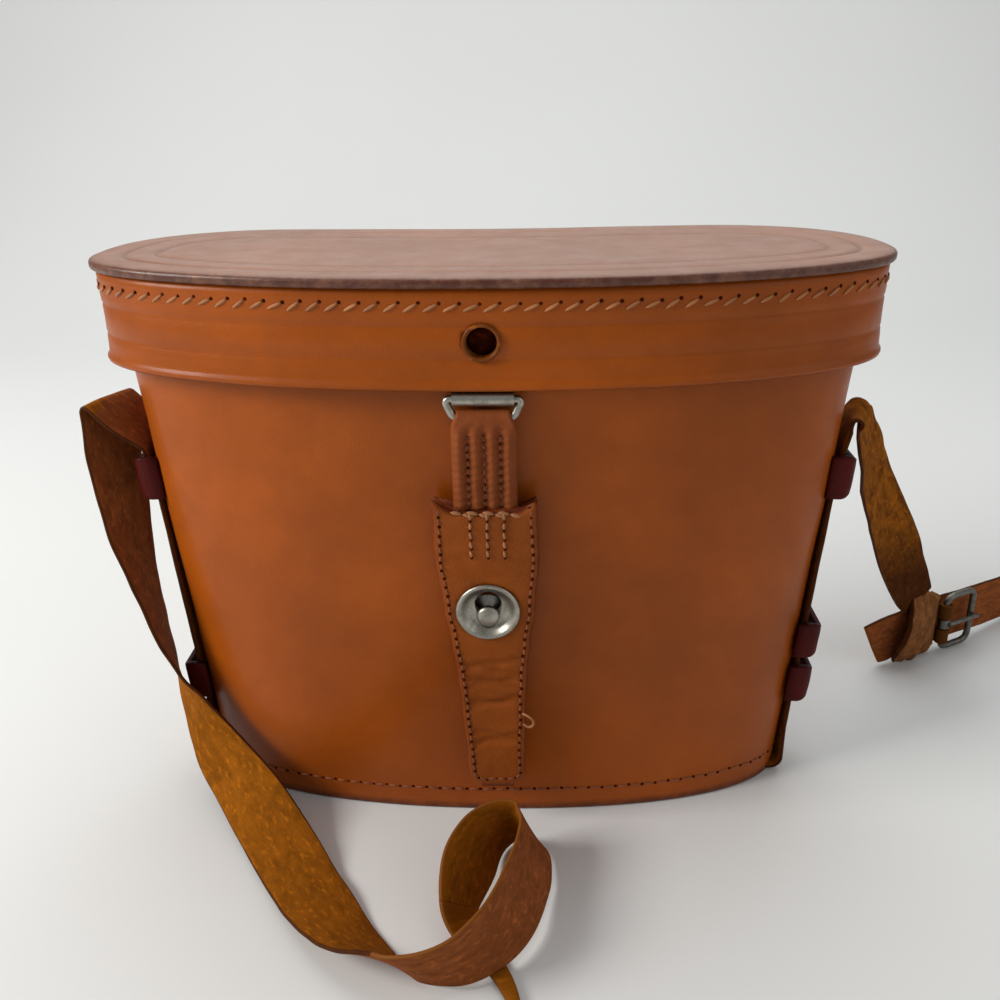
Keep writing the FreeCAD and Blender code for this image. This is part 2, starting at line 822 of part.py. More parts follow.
# The standing loop in front of the case, and the pointed end under it
left_loop = [
    (-15.6, -86.0, 10.2, 0, -7, 17, 1),
    (-8.6, -88.0, 11.6, -3, -5, 17, 1),
    (-2.0, -86.6, 11.8, -6, -4, 16, 1),
    (4.6, -80.0, 11.6, -9, -4, 15, 1),
    (9.6, -69.0, 9.8, -10, -5, 14, 1),
    (12.4, -57.6, 9.2, -8, -6, 15, 1),
    (12.0, -47.4, 9.4, -5, -6, 16, 1),
    (7.6, -40.6, 9.6, -2, -5, 17, 1),
    (1.6, -40.4, 9.6, 0, -4, 17, 1),
    (-3.6, -46.0, 9.6, 0, -4, 17, 1),
    (-7.0, -55.0, 9.4, -2, -4, 17, 0.98),
    (-8.4, -64.0, 7.6, -6, -3, 15, 0.8),
    (-7.0, -70.6, 4.4, -12, -4, 11, 0.6),
    (-3.4, -76.0, 2.0, -15, 6, 5, 0.42),
    (1.4, -80.6, 1.4, -13, 12, 1, 0.3),
    (5.0, -86.6, 1.4, -16, 8, 0, 0.24),
    (7.4, -93.0, 1.4, -17, 6, 0, 0.16),
    (8.8, -98.0, 1.4, -17, 5, 0, 0.06),
]

# Right strap from the upper keeper over its fold, flesh side out, down to the knot
right_fall = [
    (93.4, 0.5, 105.9, 1, 18, 0, 1),
    (94.78, 1.11, 108.48, 2, 18, 0, 1),
    (96.22, 0.95, 111.0, 2, 18, 0, 1),
    (96.9, 0.88, 111.64, 2, 18, 0, 1),
    (97.82, 0.78, 111.78, 2, 18, 0, 1),
    (98.66, 0.68, 111.39, 2, 18, 0, 1),
    (99.14, 0.63, 110.59, 2, 18, 0, 1),
    (99.9, 0.6, 107.7, 1.5, 18, 0, 1),
    (101.2, 1.6, 103.6, -1, 18, 1, 1),
    (103.4, 4.4, 98.0, -4, 17, 3, 1),
    (109.0, 13.0, 87.0, -5, 16, 4, 1),
    (114.8, 20.6, 74.0, -8, 15, 3, 1),
    (121.4, 29.4, 60.0, -11, 14, 2, 1),
    (128.4, 37.6, 47.0, -12, 13, 0, 0.96),
    (134.6, 44.6, 35.0, -12, 11, 0, 0.8),
    (140.0, 50.6, 26.6, -11, 10, 0, 0.66),
    (143.1, 53.9, 22.9, -11, 10, 0, 0.6),
]

# Strap through the knot: on its edge from the short end to past the buckle
tail_heading = Vector(0.87, 0.49, 0)
tail_start = Vector(131.0, 48.4, 10.4)
tail_lengths = (0, 10, 22, 34, 48, 62)
tail_rises = (0, 1.0, 1.6, 1.6, 0.8, 0)
tail_sides = (0.6, 0, 0, 0, 0.4, 1.6)
tail_end = [
    (191.8, 86.0, 9.6, 0, 0, 18, 1),
    (201.0, 95.0, 9.5, 0, 0, 18, 1),
    (206.0, 106.0, 9.4, 0, 0, 18, 1),
]


def tail_place(length, side, rise):
    """Place along the strap's tail: forward, to its far side, and up."""
    heading = Vector(tail_heading).normalize()
    start = tail_start + Vector(0, widest_y, rise)
    return start + heading * length + Vector(-heading.y, heading.x, 0) * side


def make_strap_tail():
    """The strap that runs through the knot and behind the buckle, on its edge."""
    stations = []
    for length, side, rise in zip(tail_lengths, tail_sides, tail_rises):
        stations.append((tail_place(length, side, rise), Vector(0, 0, 1), carry_half))
    return ribbon(strap_sections(stations + strap_route(tail_end), carry_leather))


def make_long_strap():
    """The carrying strap in its stretches, which meet face to face."""
    left = strap_route(left_fall + left_ground + left_loop)
    run = side_run_stations()
    right = strap_route(right_fall)
    wires = strap_sections(left[::-1] + run + right, carry_leather)
    run_start = len(left)
    run_end = run_start + len(run) - 1
    fall_start = run_start - len(left_fall)
    ground_start = fall_start - len(left_ground)
    return {
        "strap_left_loop": ribbon(wires[:ground_start + 1]),
        "strap_left_ground": ribbon(wires[ground_start:fall_start + 1]),
        "strap_left_fall": ribbon(wires[fall_start:run_start + 1]),
        "strap_side_run": ribbon(wires[run_start:run_end + 1]),
        "strap_right_fall": ribbon(wires[run_end:]),
    }


def make_strap_knot():
    """Turn of the right strap, wrapped round the tail beside the buckle."""
    thick = carry_leather / 2 + knot_gap
    tall = carry_half + knot_gap
    blocks = []
    heading = Vector(tail_heading).normalize()
    centre = tail_place(knot_start, 0, knot_rise)
    for grow in (0, carry_leather):
        corners = []
        for wide, high in ((-1, -1), (1, -1), (1, 1), (-1, 1)):
            side = Vector(-heading.y, heading.x, 0) * (wide * (thick + grow))
            corners.append(centre + side + Vector(0, 0, high * (tall + grow * knot_pinch_share)))
        blocks.append(extruded(corners, heading * knot_length))
    inner, outer = blocks
    return outer.cut(inner)


def buckle_place(length, rise):
    """Place in the buckle's plane: along the strap from its middle, and up."""
    fold = buckle_wire + glue_gap + chape_fold
    along = knot_start + knot_length + running_gap + fold + buckle_half_long
    side = -(carry_leather / 2 + running_gap + fold)
    return tail_place(along + length, side, buckle_rise + rise)


def make_buckle_frame():
    """Rectangular wire frame of the buckle."""
    corners = [
        buckle_place(-buckle_half_long, -buckle_half_tall), buckle_place(buckle_half_long, -buckle_half_tall),
        buckle_place(buckle_half_long, buckle_half_tall), buckle_place(-buckle_half_long, buckle_half_tall),
    ]
    return pipe(rounded_path(corners, buckle_bend, True), buckle_wire)


def make_buckle_prong():
    """Prong: an eye round the frame's near bar and a pin that rests on its far bar."""
    bore = buckle_wire + tube_bore_gap
    lift = Vector(0, 0, prong_eye + prong_wire)
    middle = buckle_place(-buckle_half_long, 0)
    eye = rod(middle - lift, middle + lift, bore + prong_wire)
    tip = buckle_place(buckle_half_long + prong_past, 0)
    heading = (tip - middle).normalize()
    side = Vector(heading.y, -heading.x, 0)
    stand = side * (buckle_wire + prong_wire + glue_gap)
    pin = rod(middle + stand, tip + stand, prong_wire)
    prong = eye.fuse(pin)
    return prong.cut(rod(middle - lift * 2, middle + lift * 2, bore))


def make_buckle_chape():
    """End of the right strap, folded round the frame's near bar either side of the prong."""
    bore = buckle_wire + glue_gap
    middle = buckle_place(-buckle_half_long, 0)
    reach = buckle_half_tall - buckle_bend - glue_gap
    gap = prong_eye + prong_wire + running_gap
    parts = []
    for hand in (-1, 1):
        low = middle + Vector(0, 0, hand * gap)
        high = middle + Vector(0, 0, hand * reach)
        parts.append(rod(low, high, bore + chape_fold).cut(rod(low * 2 - high, high * 2 - low, bore)))
    return Part.makeCompound(parts)


pieces = {
    "body_shell": make_body_shell(),
    "base_panel": make_base_panel(),
    "body_lining": make_body_lining(),
    "base_lining": make_base_lining(),
    "lid_wall": make_lid_wall(),
    "lid_top": make_lid_top(),
    "lid_lining": make_lid_lining(),
    "lid_eyelet": make_eyelet(),
    "loop_chape": make_loop_chape(),
    "wire_loop": make_wire_loop(),
    "latch_tab": make_latch_tab(),
    "tab_springs": make_tab_springs(),
    "latch_strap_front": make_strap_layer(1),
    "latch_strap_back": make_strap_layer(-1),
    "keyhole_plate": make_keyhole_plate(),
    "plate_backing": make_plate_backing(),
    "catch_stud": make_catch_stud(),
    "stud_washer": make_stud_washer(),
    "hinge_leaf_lid": make_hinge_upper(),
    "hinge_leaf_body": make_hinge_lower(),
    "hinge_fold": make_hinge_fold(),
    **make_long_strap(),
    "strap_tail": make_strap_tail(),
    "strap_knot": make_strap_knot(),
    "buckle_frame": make_buckle_frame(),
    "buckle_prong": make_buckle_prong(),
    "buckle_chape": make_buckle_chape(),
}
for name, (side, low, tall) in keepers.items():
    pieces[name] = make_keeper(side, low, tall)

print("hinge axis", Vector(0, hinge_y, lid_low))
print("loop's bars", top_bar, low_bar)
print("latch slides along", down)
print("prong turns about", buckle_place(-buckle_half_long, 0))

os.makedirs("parts", exist_ok=True)
for name, shape in pieces.items():
    shape.exportStep("parts/" + name + ".step")
    print(name, len(shape.Solids), "solids, volume", round(shape.Volume, 1), "valid", shape.isValid())
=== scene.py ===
"""Looks of a hard leather binocular case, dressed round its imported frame.

Sizes are in millimetres in this file and become metres when a mesh is made.
The case stands on its foot rim at the origin, and its latch faces -Y.
"""
import math

import bmesh
import bpy
from bpy.props import FloatProperty, FloatVectorProperty, IntProperty, PointerProperty
from mathutils import Matrix, Vector, noise


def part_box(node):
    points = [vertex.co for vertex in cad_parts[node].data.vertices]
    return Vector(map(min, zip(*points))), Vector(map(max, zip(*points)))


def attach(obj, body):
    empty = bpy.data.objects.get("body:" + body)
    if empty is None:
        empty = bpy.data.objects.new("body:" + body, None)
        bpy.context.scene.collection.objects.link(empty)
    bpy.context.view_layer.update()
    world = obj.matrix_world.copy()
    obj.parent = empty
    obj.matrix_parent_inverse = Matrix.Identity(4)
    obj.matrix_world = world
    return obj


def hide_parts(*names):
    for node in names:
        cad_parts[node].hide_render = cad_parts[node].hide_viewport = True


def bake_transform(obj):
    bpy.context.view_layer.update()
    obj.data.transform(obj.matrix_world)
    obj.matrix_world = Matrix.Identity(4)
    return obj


bl_info = {
    "name": "Binocular case",
    "version": (1, 0, 0),
    "blender": (4, 5, 0),
    "location": "3D View > Sidebar > Case",
    "description": "Builds the leather, thread and metal of a hard binocular case",
    "category": "Add Mesh",
}

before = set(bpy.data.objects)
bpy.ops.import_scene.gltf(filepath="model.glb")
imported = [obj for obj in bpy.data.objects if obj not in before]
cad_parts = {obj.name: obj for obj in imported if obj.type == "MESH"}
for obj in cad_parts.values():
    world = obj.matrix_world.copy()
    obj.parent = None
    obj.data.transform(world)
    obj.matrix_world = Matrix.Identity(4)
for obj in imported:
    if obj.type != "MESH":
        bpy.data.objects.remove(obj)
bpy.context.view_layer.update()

MM = 0.001
UP = Vector((0, 0, 1))
RIGHT = Vector((1, 0, 0))


def linear(code):
    """Linear colour from an sRGB hex code."""
    channels = [int(code[place:place + 2], 16) / 255 for place in (1, 3, 5)]
    return [c / 12.92 if c <= 0.04045 else ((c + 0.055) / 1.055) ** 2.4 for c in channels]


def box_mm(node):
    """Lowest and highest corner of a frame node, in millimetres."""
    low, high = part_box(node)
    return Vector(low) / MM, Vector(high) / MM


# Places that come from the frame
case_high = box_mm("lid_top")[1].z
panel_low = box_mm("lid_top")[0].z
lid_low = box_mm("lid_wall")[0].z
rim_high = box_mm("body_shell")[1].z
loop_low, loop_high = box_mm("wire_loop")
eyelet_low, eyelet_high = box_mm("lid_eyelet")
keeper_low, keeper_high = box_mm("keeper_left_upper")
widest_y = (keeper_low.y + keeper_high.y) / 2

# Plans of the lid and of the base: half width, front, bow, back, dent, power
lid_plan = (98.0, 36.0, 4.2, 50.5, 16.6, 2.46)
base_plan = (82.9, 27.2, 0.0, 36.0, 9.0, 2.2)
body_wall = 3.0
lid_wall = 2.6
body_inset = 5.2
neck_taper = 1.8
top_overhang = 1.3
shoulder = lid_low - 0.3
around = 300

# Latch line: the loop's two bars and the slope of the front wall
wire = 0.95
bar_y = (loop_low.y + loop_high.y) / 2
top_bar = Vector((0, bar_y, loop_high.z - wire))
low_bar = Vector((0, bar_y, loop_low.z + wire))
front_base = widest_y - base_plan[1]
front_top = widest_y - lid_plan[1] - lid_plan[2] + body_inset
lean = math.atan2(front_base - front_top, shoulder)
DOWN = Vector((0, math.sin(lean), -math.cos(lean)))
OUT = Vector((0, -math.cos(lean), -math.sin(lean)))

# How far down the latch the keyhole plate and the stud are
plate_at = 50.7
stud_at = 52.4

# How far the latch's border stitches are from its edge
border_inset = 1.5

# Heights between which the back hinge bends
bend_low = 119.5

# Carrying strap: the thickness of its solids, and of the worn leather that shows
carry_half = 9.0
carry_thick = 1.8
carry_shown = 1.0
run_top = 96.5
run_gap = 0.35


class CaseSizes(bpy.types.PropertyGroup):
    """Sizes that a user may change."""
    lid_pitch: FloatProperty(name="Lid stitch pitch", description="Between the lid's stitches",
                             default=4.4 * MM, unit="LENGTH")
    base_pitch: FloatProperty(name="Base stitch pitch", description="Between the base's stitches",
                              default=3.8 * MM, unit="LENGTH")
    border_pitch: FloatProperty(
        name="Border pitch", description="Between the latch's border stitches", default=2.5 * MM,
        unit="LENGTH")
    unevenness: FloatProperty(name="Unevenness", description="How far the moulded wall strays",
                              default=0.4 * MM, unit="LENGTH")
    seed: IntProperty(name="Seed", description="Seed of every random draw", default=7)


class CaseColours(bpy.types.PropertyGroup):
    """Colours that a user may change."""
    saddle: FloatVectorProperty(name="Saddle leather", description="Waxed tan hide of body and lid",
                                subtype="COLOR", default=linear("#9c4a0a"))
    # The lid top's paler, pinker colour is partly rubbed hide and partly painted sheen of a grazing
    # reflection.
    top: FloatVectorProperty(name="Lid top", description="Rubbed hide of the lid's top",
                             subtype="COLOR", default=linear("#96644a"))
    strap: FloatVectorProperty(
        name="Strap grain", description="Dark grain side of the carrying strap", subtype="COLOR",
        default=linear("#94522a"))
    suede: FloatVectorProperty(
        name="Strap flesh", description="Rough flesh side of the carrying strap", subtype="COLOR",
        default=linear("#96560f"))
    keeper: FloatVectorProperty(name="Keeper", description="Dyed leather of the side keepers",
                                subtype="COLOR", default=linear("#4c100c"))
    thread: FloatVectorProperty(name="Thread", description="Waxed linen thread",
                                subtype="COLOR", default=linear("#c07a40"))
    nickel: FloatVectorProperty(name="Nickel", description="Dull worn nickel plate",
                                subtype="COLOR", default=linear("#aaa69c"))
    floor: FloatVectorProperty(name="Floor", description="Pale stage",
                               subtype="COLOR", default=linear("#dcdcda"))


def outline(plan, turn, inset=0.0):
    """Point of a plan's outline drawn in by inset, and its outward normal; turns start at +X."""
    def place(angle):
        half_width, front, bow, back, dent, power = plan
        cosine = math.cos(angle)
        sine = math.sin(angle)
        x = half_width * math.copysign(abs(cosine) ** (2 / power), cosine)
        middle = (1 - (x / half_width) ** 2) ** 2
        reach = abs(sine) ** (2 / power)
        if sine > 0:
            return Vector((x, widest_y + back * reach - dent * middle, 0))
        return Vector((x, widest_y - front * reach - bow * middle, 0))

    step = 0.002
    along = place(turn + step) - place(turn - step)
    outward = Vector((along.y, -along.x, 0)).normalized()
    return place(turn) - outward * inset, outward


def even_turns(plan, count):
    """Turns that divide a plan's outline evenly, from the middle of the back."""
    fine = 2400
    turns = [math.pi / 2 + 2 * math.pi * index / fine for index in range(fine + 1)]
    places = [outline(plan, turn)[0] for turn in turns]
    lengths = [0.0]
    for low, high in zip(places, places[1:]):
        lengths.append(lengths[-1] + (high - low).length)
    found = []
    cursor = 0
    for index in range(count):
        wanted = lengths[-1] * index / count
        while lengths[cursor + 1] < wanted:
            cursor += 1
        found.append(turns[cursor])
    return found


lid_turns = even_turns(lid_plan, around)


def body_place(turn, height, inset=0.0):
    """Point on the body wall at a height, drawn in by inset."""
    high_inset = body_inset + inset
    if height > shoulder:
        share = (height - shoulder) / (rim_high - shoulder)
        spot = outline(lid_plan, turn, high_inset + neck_taper * share)[0]
    else:
        share = height / shoulder
        low = outline(base_plan, turn, inset)[0]
        spot = low.lerp(outline(lid_plan, turn, high_inset)[0], share)
    return Vector((spot.x, spot.y, height))


def wall_half(height):
    """Half width of the body at a height under the lid."""
    return base_plan[0] + (lid_plan[0] - body_inset - base_plan[0]) * height / shoulder


def on_latch(x, distance, stand=0.0):
    """Place on the latch: across, down from the low bar, and out from the strap's mid plane."""
    return low_bar + RIGHT * x + DOWN * distance + OUT * stand


def between(low, high, steps):
    """Values from low to high, evenly apart."""
    return [low + (high - low) * step / steps for step in range(steps + 1)]


def held(value):
    """Value kept between 0 and 1."""
    return min(1, max(0, value))


def eased(share):
    """Share that starts and ends gently."""
    return share * share * (3 - 2 * share)


# Where a Mix node's colours stand among its sockets
mix_share, mix_low, mix_high, mix_result = 0, 6, 7, 2


def add(tree, kind, inputs=None, **settings):
    """A node with its settings, its input values and the links into it."""
    node = tree.nodes.new(kind)
    for key, value in settings.items():
        setattr(node, key, value)
    for key, value in (inputs or {}).items():
        socket = node.inputs[key]
        if isinstance(value, bpy.types.NodeSocket):
            tree.links.new(value, socket)
        else:
            socket.default_value = (*value, 1) if socket.type == "RGBA" else value
    return node


def shader(name, **values):
    """New material with a shader whose plain values are set, its tree and its shader node."""
    material = bpy.data.materials.new(name)
    material.use_nodes = True
    tree = material.node_tree
    tree.nodes.clear()
    surface = add(tree, "ShaderNodeBsdfPrincipled")
    for socket, value in values.items():
        surface.inputs[socket.replace("_", " ")].default_value = value
    add(tree, "ShaderNodeOutputMaterial", {"Surface": surface.outputs["BSDF"]})
    return material, tree, surface


def shade(colour, factor):
    """A colour made darker or lighter."""
    return [min(1, channel * factor) for channel in colour]


def veiled(tree, base, colour, value, low, high, most=1.0, least=0.0, where=None):
    """Colour under a veil of another, from least to most as a value goes from low to high."""
    share = add(tree, "ShaderNodeMapRange", {
        "Value": value, "From Min": low, "From Max": high, "To Min": least, "To Max": most})
    share = share.outputs["Result"]
    if where:
        share = add(tree, "ShaderNodeMath", {0: where, 1: share}, operation="MULTIPLY").outputs[0]
    veil = {mix_share: share, mix_low: base, mix_high: colour}
    return add(tree, "ShaderNodeMix", veil, data_type="RGBA").outputs[mix_result]


def paint(tree, surface, colour, heights=(), strength=0.0, depth=0.0, rough=None):
    """Gives a shader its colour, a relief of so many millimetres from the sum of heights, and a
    roughness that follows a value: the value, its range, and the roughness at each end."""
    tree.links.new(colour, surface.inputs["Base Color"])
    if heights:
        height = heights[0]
        for other in heights[1:]:
            height = add(tree, "ShaderNodeMath", {0: height, 1: other}, operation="ADD").outputs[0]
        bump = add(tree, "ShaderNodeBump",
                   {"Height": height, "Strength": strength, "Distance": depth * MM})
        tree.links.new(bump.outputs["Normal"], surface.inputs["Normal"])
    if rough:
        keys = ("Value", "From Min", "From Max", "To Min", "To Max")
        follow = add(tree, "ShaderNodeMapRange", dict(zip(keys, rough)))
        tree.links.new(follow.outputs["Result"], surface.inputs["Roughness"])


def leather(name, colour, grain, roughness, relief, mottle, edge_colour, spots=(), gloss=1.3,
            coat=0.04):
    """Vegetable-tanned hide: cloudy colour, pores, creases, and a burnished cut where "edge" is 1.

    spots are single stains, each a place in millimetres and a radius; gloss and coat the finish.
    """
    material, tree, surface = shader(name, IOR=gloss, Coat_Weight=coat, Coat_Roughness=0.2)
    place = add(tree, "ShaderNodeTexCoord").outputs["Object"]
    clouds, blotches, rubs, fine = (
        add(tree, "ShaderNodeTexNoise", {"Vector": place, "Scale": 1 / (size * MM),
                                         "Detail": detail, "Roughness": rough}).outputs["Fac"]
        for size, detail, rough in ((38, 4, 0.5), (9, 5, 0.65), (3, 6, 0.7), (0.35, 3, 0.5)))
    pores = add(tree, "ShaderNodeTexVoronoi", {"Vector": place, "Scale": 1 / (grain * MM)},
                feature="DISTANCE_TO_EDGE").outputs["Distance"]
    light = shade(colour, 1 + 0.6 * mottle)
    base = veiled(tree, shade(colour, 1 - mottle), light, clouds, 0.3, 0.7)
    base = veiled(tree, base, shade(colour, 0.55), blotches, 0.45, 0.75, mottle)
    rubbed = [min(1, c * 1.5 + 0.04) for c in colour]
    base = veiled(tree, base, rubbed, rubs, 0.58, 0.8, 0.12)
    for spot, radius in spots:
        away = add(tree, "ShaderNodeVectorMath", {0: place, 1: spot * MM}, operation="DISTANCE")
        core = 0.4 * radius * MM
        base = veiled(tree, base, shade(colour, 0.3), away.outputs["Value"], core, radius * MM,
                      0, 0.8)
    edge = add(tree, "ShaderNodeAttribute", attribute_name="edge").outputs["Fac"]
    base = veiled(tree, base, edge_colour, rubs, 0.42, 0.68, 0.45, 1, where=edge)
    pits = add(tree, "ShaderNodeMapRange", {"Value": pores, "From Max": 0.12}).outputs["Result"]
    paint(tree, surface, base, (pits, fine, rubs), relief, 0.12,
          (blotches, 0.3, 0.75, roughness - 0.07, roughness + 0.12))
    return material


def suede(name, colour, dark, soiled=None):
    """Split flesh side of a strap: matt, with a short nap in smears and a few paler fibres.

    The last argument gives the heights, in millimetres, over which the flesh goes from darker below
    to its own colour above.
    """
    material, tree, surface = shader(name, IOR=1.15, Roughness=0.95)
    places = add(tree, "ShaderNodeTexCoord").outputs
    stretch = {"Vector": places["UV"], "Scale": (0.35, 1, 1)}
    smear = add(tree, "ShaderNodeMapping", stretch).outputs["Vector"]
    nap, fibres, clouds = (
        add(tree, "ShaderNodeTexNoise", {"Vector": place, "Scale": 1 / (size * MM),
                                         "Detail": detail, "Roughness": rough}).outputs["Fac"]
        for place, size, detail, rough in (
            (smear, 2.2, 6, 0.7), (smear, 0.9, 4, 0.5), (places["UV"], 22, 3, 0.5)))
    base = veiled(tree, dark, colour, nap, 0.32, 0.6)
    base = veiled(tree, base, shade(colour, 0.62), clouds, 0.35, 0.7, 0.6)
    base = veiled(tree, base, shade(colour, 1.6), fibres, 0.55, 0.7, 0.6)
    # Darker towards the bottom, fading out between the two heights.
    if soiled:
        height = add(tree, "ShaderNodeSeparateXYZ", {0: places["Object"]}).outputs["Z"]
        low, high = soiled
        base = veiled(tree, base, shade(dark, 0.5), height, low * MM, high * MM, 0, 0.8)
    paint(tree, surface, base, (nap, fibres), 0.5, 0.3)
    return material


def plated_metal(name, colour, roughness, tarnish):
    """Nickel-plated steel, rubbed dull: soft reflections, with brown-grey tarnish in blotches."""
    material, tree, surface = shader(name, Metallic=1.0)
    place = add(tree, "ShaderNodeTexCoord").outputs["Object"]
    blotches, fine = (
        add(tree, "ShaderNodeTexNoise", {"Vector": place, "Scale": 1 / (size * MM),
                                         "Detail": detail, "Roughness": rough}).outputs["Fac"]
        for size, detail, rough in ((2.4, 5, 0.7), (0.3, 3, 0.5)))
    brown = [colour[0] * 0.42, colour[1] * 0.36, colour[2] * 0.28]
    base = veiled(tree, colour, brown, blotches, 0.45, 0.75, tarnish)
    paint(tree, surface, base, (fine,), 0.12, 0.05,
          (blotches, 0.3, 0.8, roughness - 0.08, roughness + 0.15))
    return material


def linen_thread(name, colour):
    """Waxed linen thread: matt strands, with painted shade darkening the lay between them."""
    material, tree, surface = shader(name, IOR=1.5, Roughness=0.62, Sheen_Weight=0.15)
    place = add(tree, "ShaderNodeTexCoord").outputs["Object"]
    inputs = {"Vector": place, "Scale": 1 / (1.4 * MM), "Distortion": 1.5}
    lay = add(tree, "ShaderNodeTexWave", inputs, bands_direction="DIAGONAL").outputs["Fac"]
    inputs = {"Vector": place, "Scale": 1 / (6 * MM), "Detail": 3}
    clouds = add(tree, "ShaderNodeTexNoise", inputs).outputs["Fac"]
    base = veiled(tree, shade(colour, 0.6), colour, clouds, 0.35, 0.7)
    # Painted shade in the lay between the strands.
    base = veiled(tree, base, shade(colour, 0.4), lay, 0.2, 0.8, 0, 0.35)
    paint(tree, surface, base, (lay,), 0.5, 0.08)
    return material


def felt(name, colour):
    """Short-pile lining cloth: deep colour with a faint sheen."""
    material, tree, surface = shader(
        name, Roughness=0.95, IOR=1.2, Sheen_Weight=0.12, Sheen_Roughness=0.6)
    place = add(tree, "ShaderNodeTexCoord").outputs["Object"]
    pile, clouds = (add(tree, "ShaderNodeTexNoise", {
        "Vector": place, "Scale": 1 / (size * MM), "Detail": detail}).outputs["Fac"]
        for size, detail in ((0.9, 4), (18, 3)))
    base = veiled(tree, shade(colour, 0.6), shade(colour, 1.25), pile, 0.3, 0.7)
    base = veiled(tree, base, shade(colour, 0.7), clouds, 0.4, 0.7, 0.5)
    paint(tree, surface, base, (pile,), 0.6, 0.3)
    return material


def baked_lacquer(name, colour, gloss):
    """Stoved lacquer, also the shade in an awl hole: dark, and paler in thin spots."""
    material, tree, surface = shader(name, IOR=gloss, Roughness=0.3)
    place = add(tree, "ShaderNodeTexCoord").outputs["Object"]
    inputs = {"Vector": place, "Scale": 1 / (1.6 * MM), "Detail": 4}
    worn = add(tree, "ShaderNodeTexNoise", inputs).outputs["Fac"]
    paint(tree, surface, veiled(tree, colour, shade(colour, 3), worn, 0.5, 0.75))
    return material


MATERIALS = {}


def make_materials(colours):
    """Every finish of the case, kept by a plain name."""
    saddle, top, strap, flesh, keeper, thread, nickel, _ = (
        list(getattr(colours, key)) for key in CaseColours.__annotations__)
    spots = [(Vector((-37.8, -33.2, 58.3)), 1.1), (Vector((-44, -33.5, 88)), 0.6),
             (Vector((31, -34, 71)), 0.7)]
    MATERIALS.update({
        "saddle": leather("saddle_hide_waxed", saddle, 0.9, 0.38, 0.22, 0.24, linear("#5c2a12"),
                          spots, gloss=1.22, coat=0.14),
        # Lid top: rubbed hide, with painted sheen in its paler, pinker colour.
        "top": leather(
            "saddle_hide_rubbed", top, 0.9, 0.36, 0.2, 0.14, linear("#4e2414"), gloss=1.45),
        "latch": leather("bridle_hide_creased", linear("#954a14"), 0.8, 0.5, 0.5, 0.3,
                         linear("#5a200c"), gloss=1.2),
        "tab": leather(
            "calf_folded", linear("#8a4620"), 0.6, 0.5, 0.5, 0.3, linear("#4a200e"), gloss=1.2),
        "keeper": leather("keeper_hide_dyed", keeper, 0.7, 0.5, 0.35, 0.3, linear("#340c08"),
                          gloss=1.15, coat=0.08),
        "board": leather(
            "leather_board_pressed", linear("#6a3c1e"), 0.5, 0.7, 0.3, 0.2, linear("#3c2010")),
        "strap_edge": leather("strap_hide_cut", shade(flesh, 0.4), 0.5, 0.7, 0.3, 0.3,
                              linear("#42200c"), gloss=1.15),
        "strap_cut_new": leather("strap_hide_cut_pale", shade(flesh, 0.8), 0.5, 0.7, 0.3, 0.3,
                                 linear("#7c4a20"), gloss=1.15),
        "strap_grain": suede("strap_hide_napped", strap, shade(strap, 0.5)),
        "strap_flesh": suede("strap_hide_flesh", flesh, shade(flesh, 0.5)),
        "strap_flesh_darker_low": suede(
            "strap_hide_flesh_soiled", flesh, linear("#3c1606"), soiled=(38, 66)),
        "knot": suede("strap_hide_pinched", linear("#8c5a34"), linear("#54301a")),
        "thread": linen_thread("linen_thread_waxed", thread),
        "dark_thread": linen_thread("linen_thread_soiled", linear("#7a3c14")),
        "latch_thread": linen_thread("linen_thread_dyed", linear("#984c18")),
        "nickel": plated_metal("nickel_plate_worn", nickel, 0.38, 0.8),
        # Darker copy of the nickel: tarnish, plus painted shade for the backing ring and washer
        # deep in the latch's hole; the buckle uses it too.
        "nickel_tarnish_and_shade": plated_metal("nickel_plate_tarnished", shade(nickel, 0.42), 0.42, 0.8),
        "spring": plated_metal("spring_wire_drawn", shade(nickel, 0.6), 0.35, 0.3),
        # Painted shade: the dark inside the awl holes and behind the eyelet's bore.
        "hole": baked_lacquer("awl_hole_shade", linear("#3a1404"), 1.05),
        "lacquer": baked_lacquer("eyelet_lacquer_stoved", linear("#6e3a14"), 1.2),
        "lining": felt("lining_cloth_napped", linear("#4c1a1e"))})


def linked(name, data):
    """New object in the scene."""
    piece = bpy.data.objects.new(name, data)
    bpy.context.scene.collection.objects.link(piece)
    return piece


def baked(holder):
    """Mesh of an object with its modifiers applied."""
    bpy.context.view_layer.update()
    graph = bpy.context.evaluated_depsgraph_get()
    return bpy.data.meshes.new_from_object(holder.evaluated_get(graph))


def faced_out(mesh, weld=None):
    """Turns a mesh's faces outward, after joining points closer than weld millimetres."""
    shape = bmesh.new()
    shape.from_mesh(mesh)
    if weld:
        bmesh.ops.remove_doubles(shape, verts=shape.verts, dist=weld * MM)
    bmesh.ops.recalc_face_normals(shape, faces=shape.faces)
    shape.to_mesh(mesh)
    shape.free()


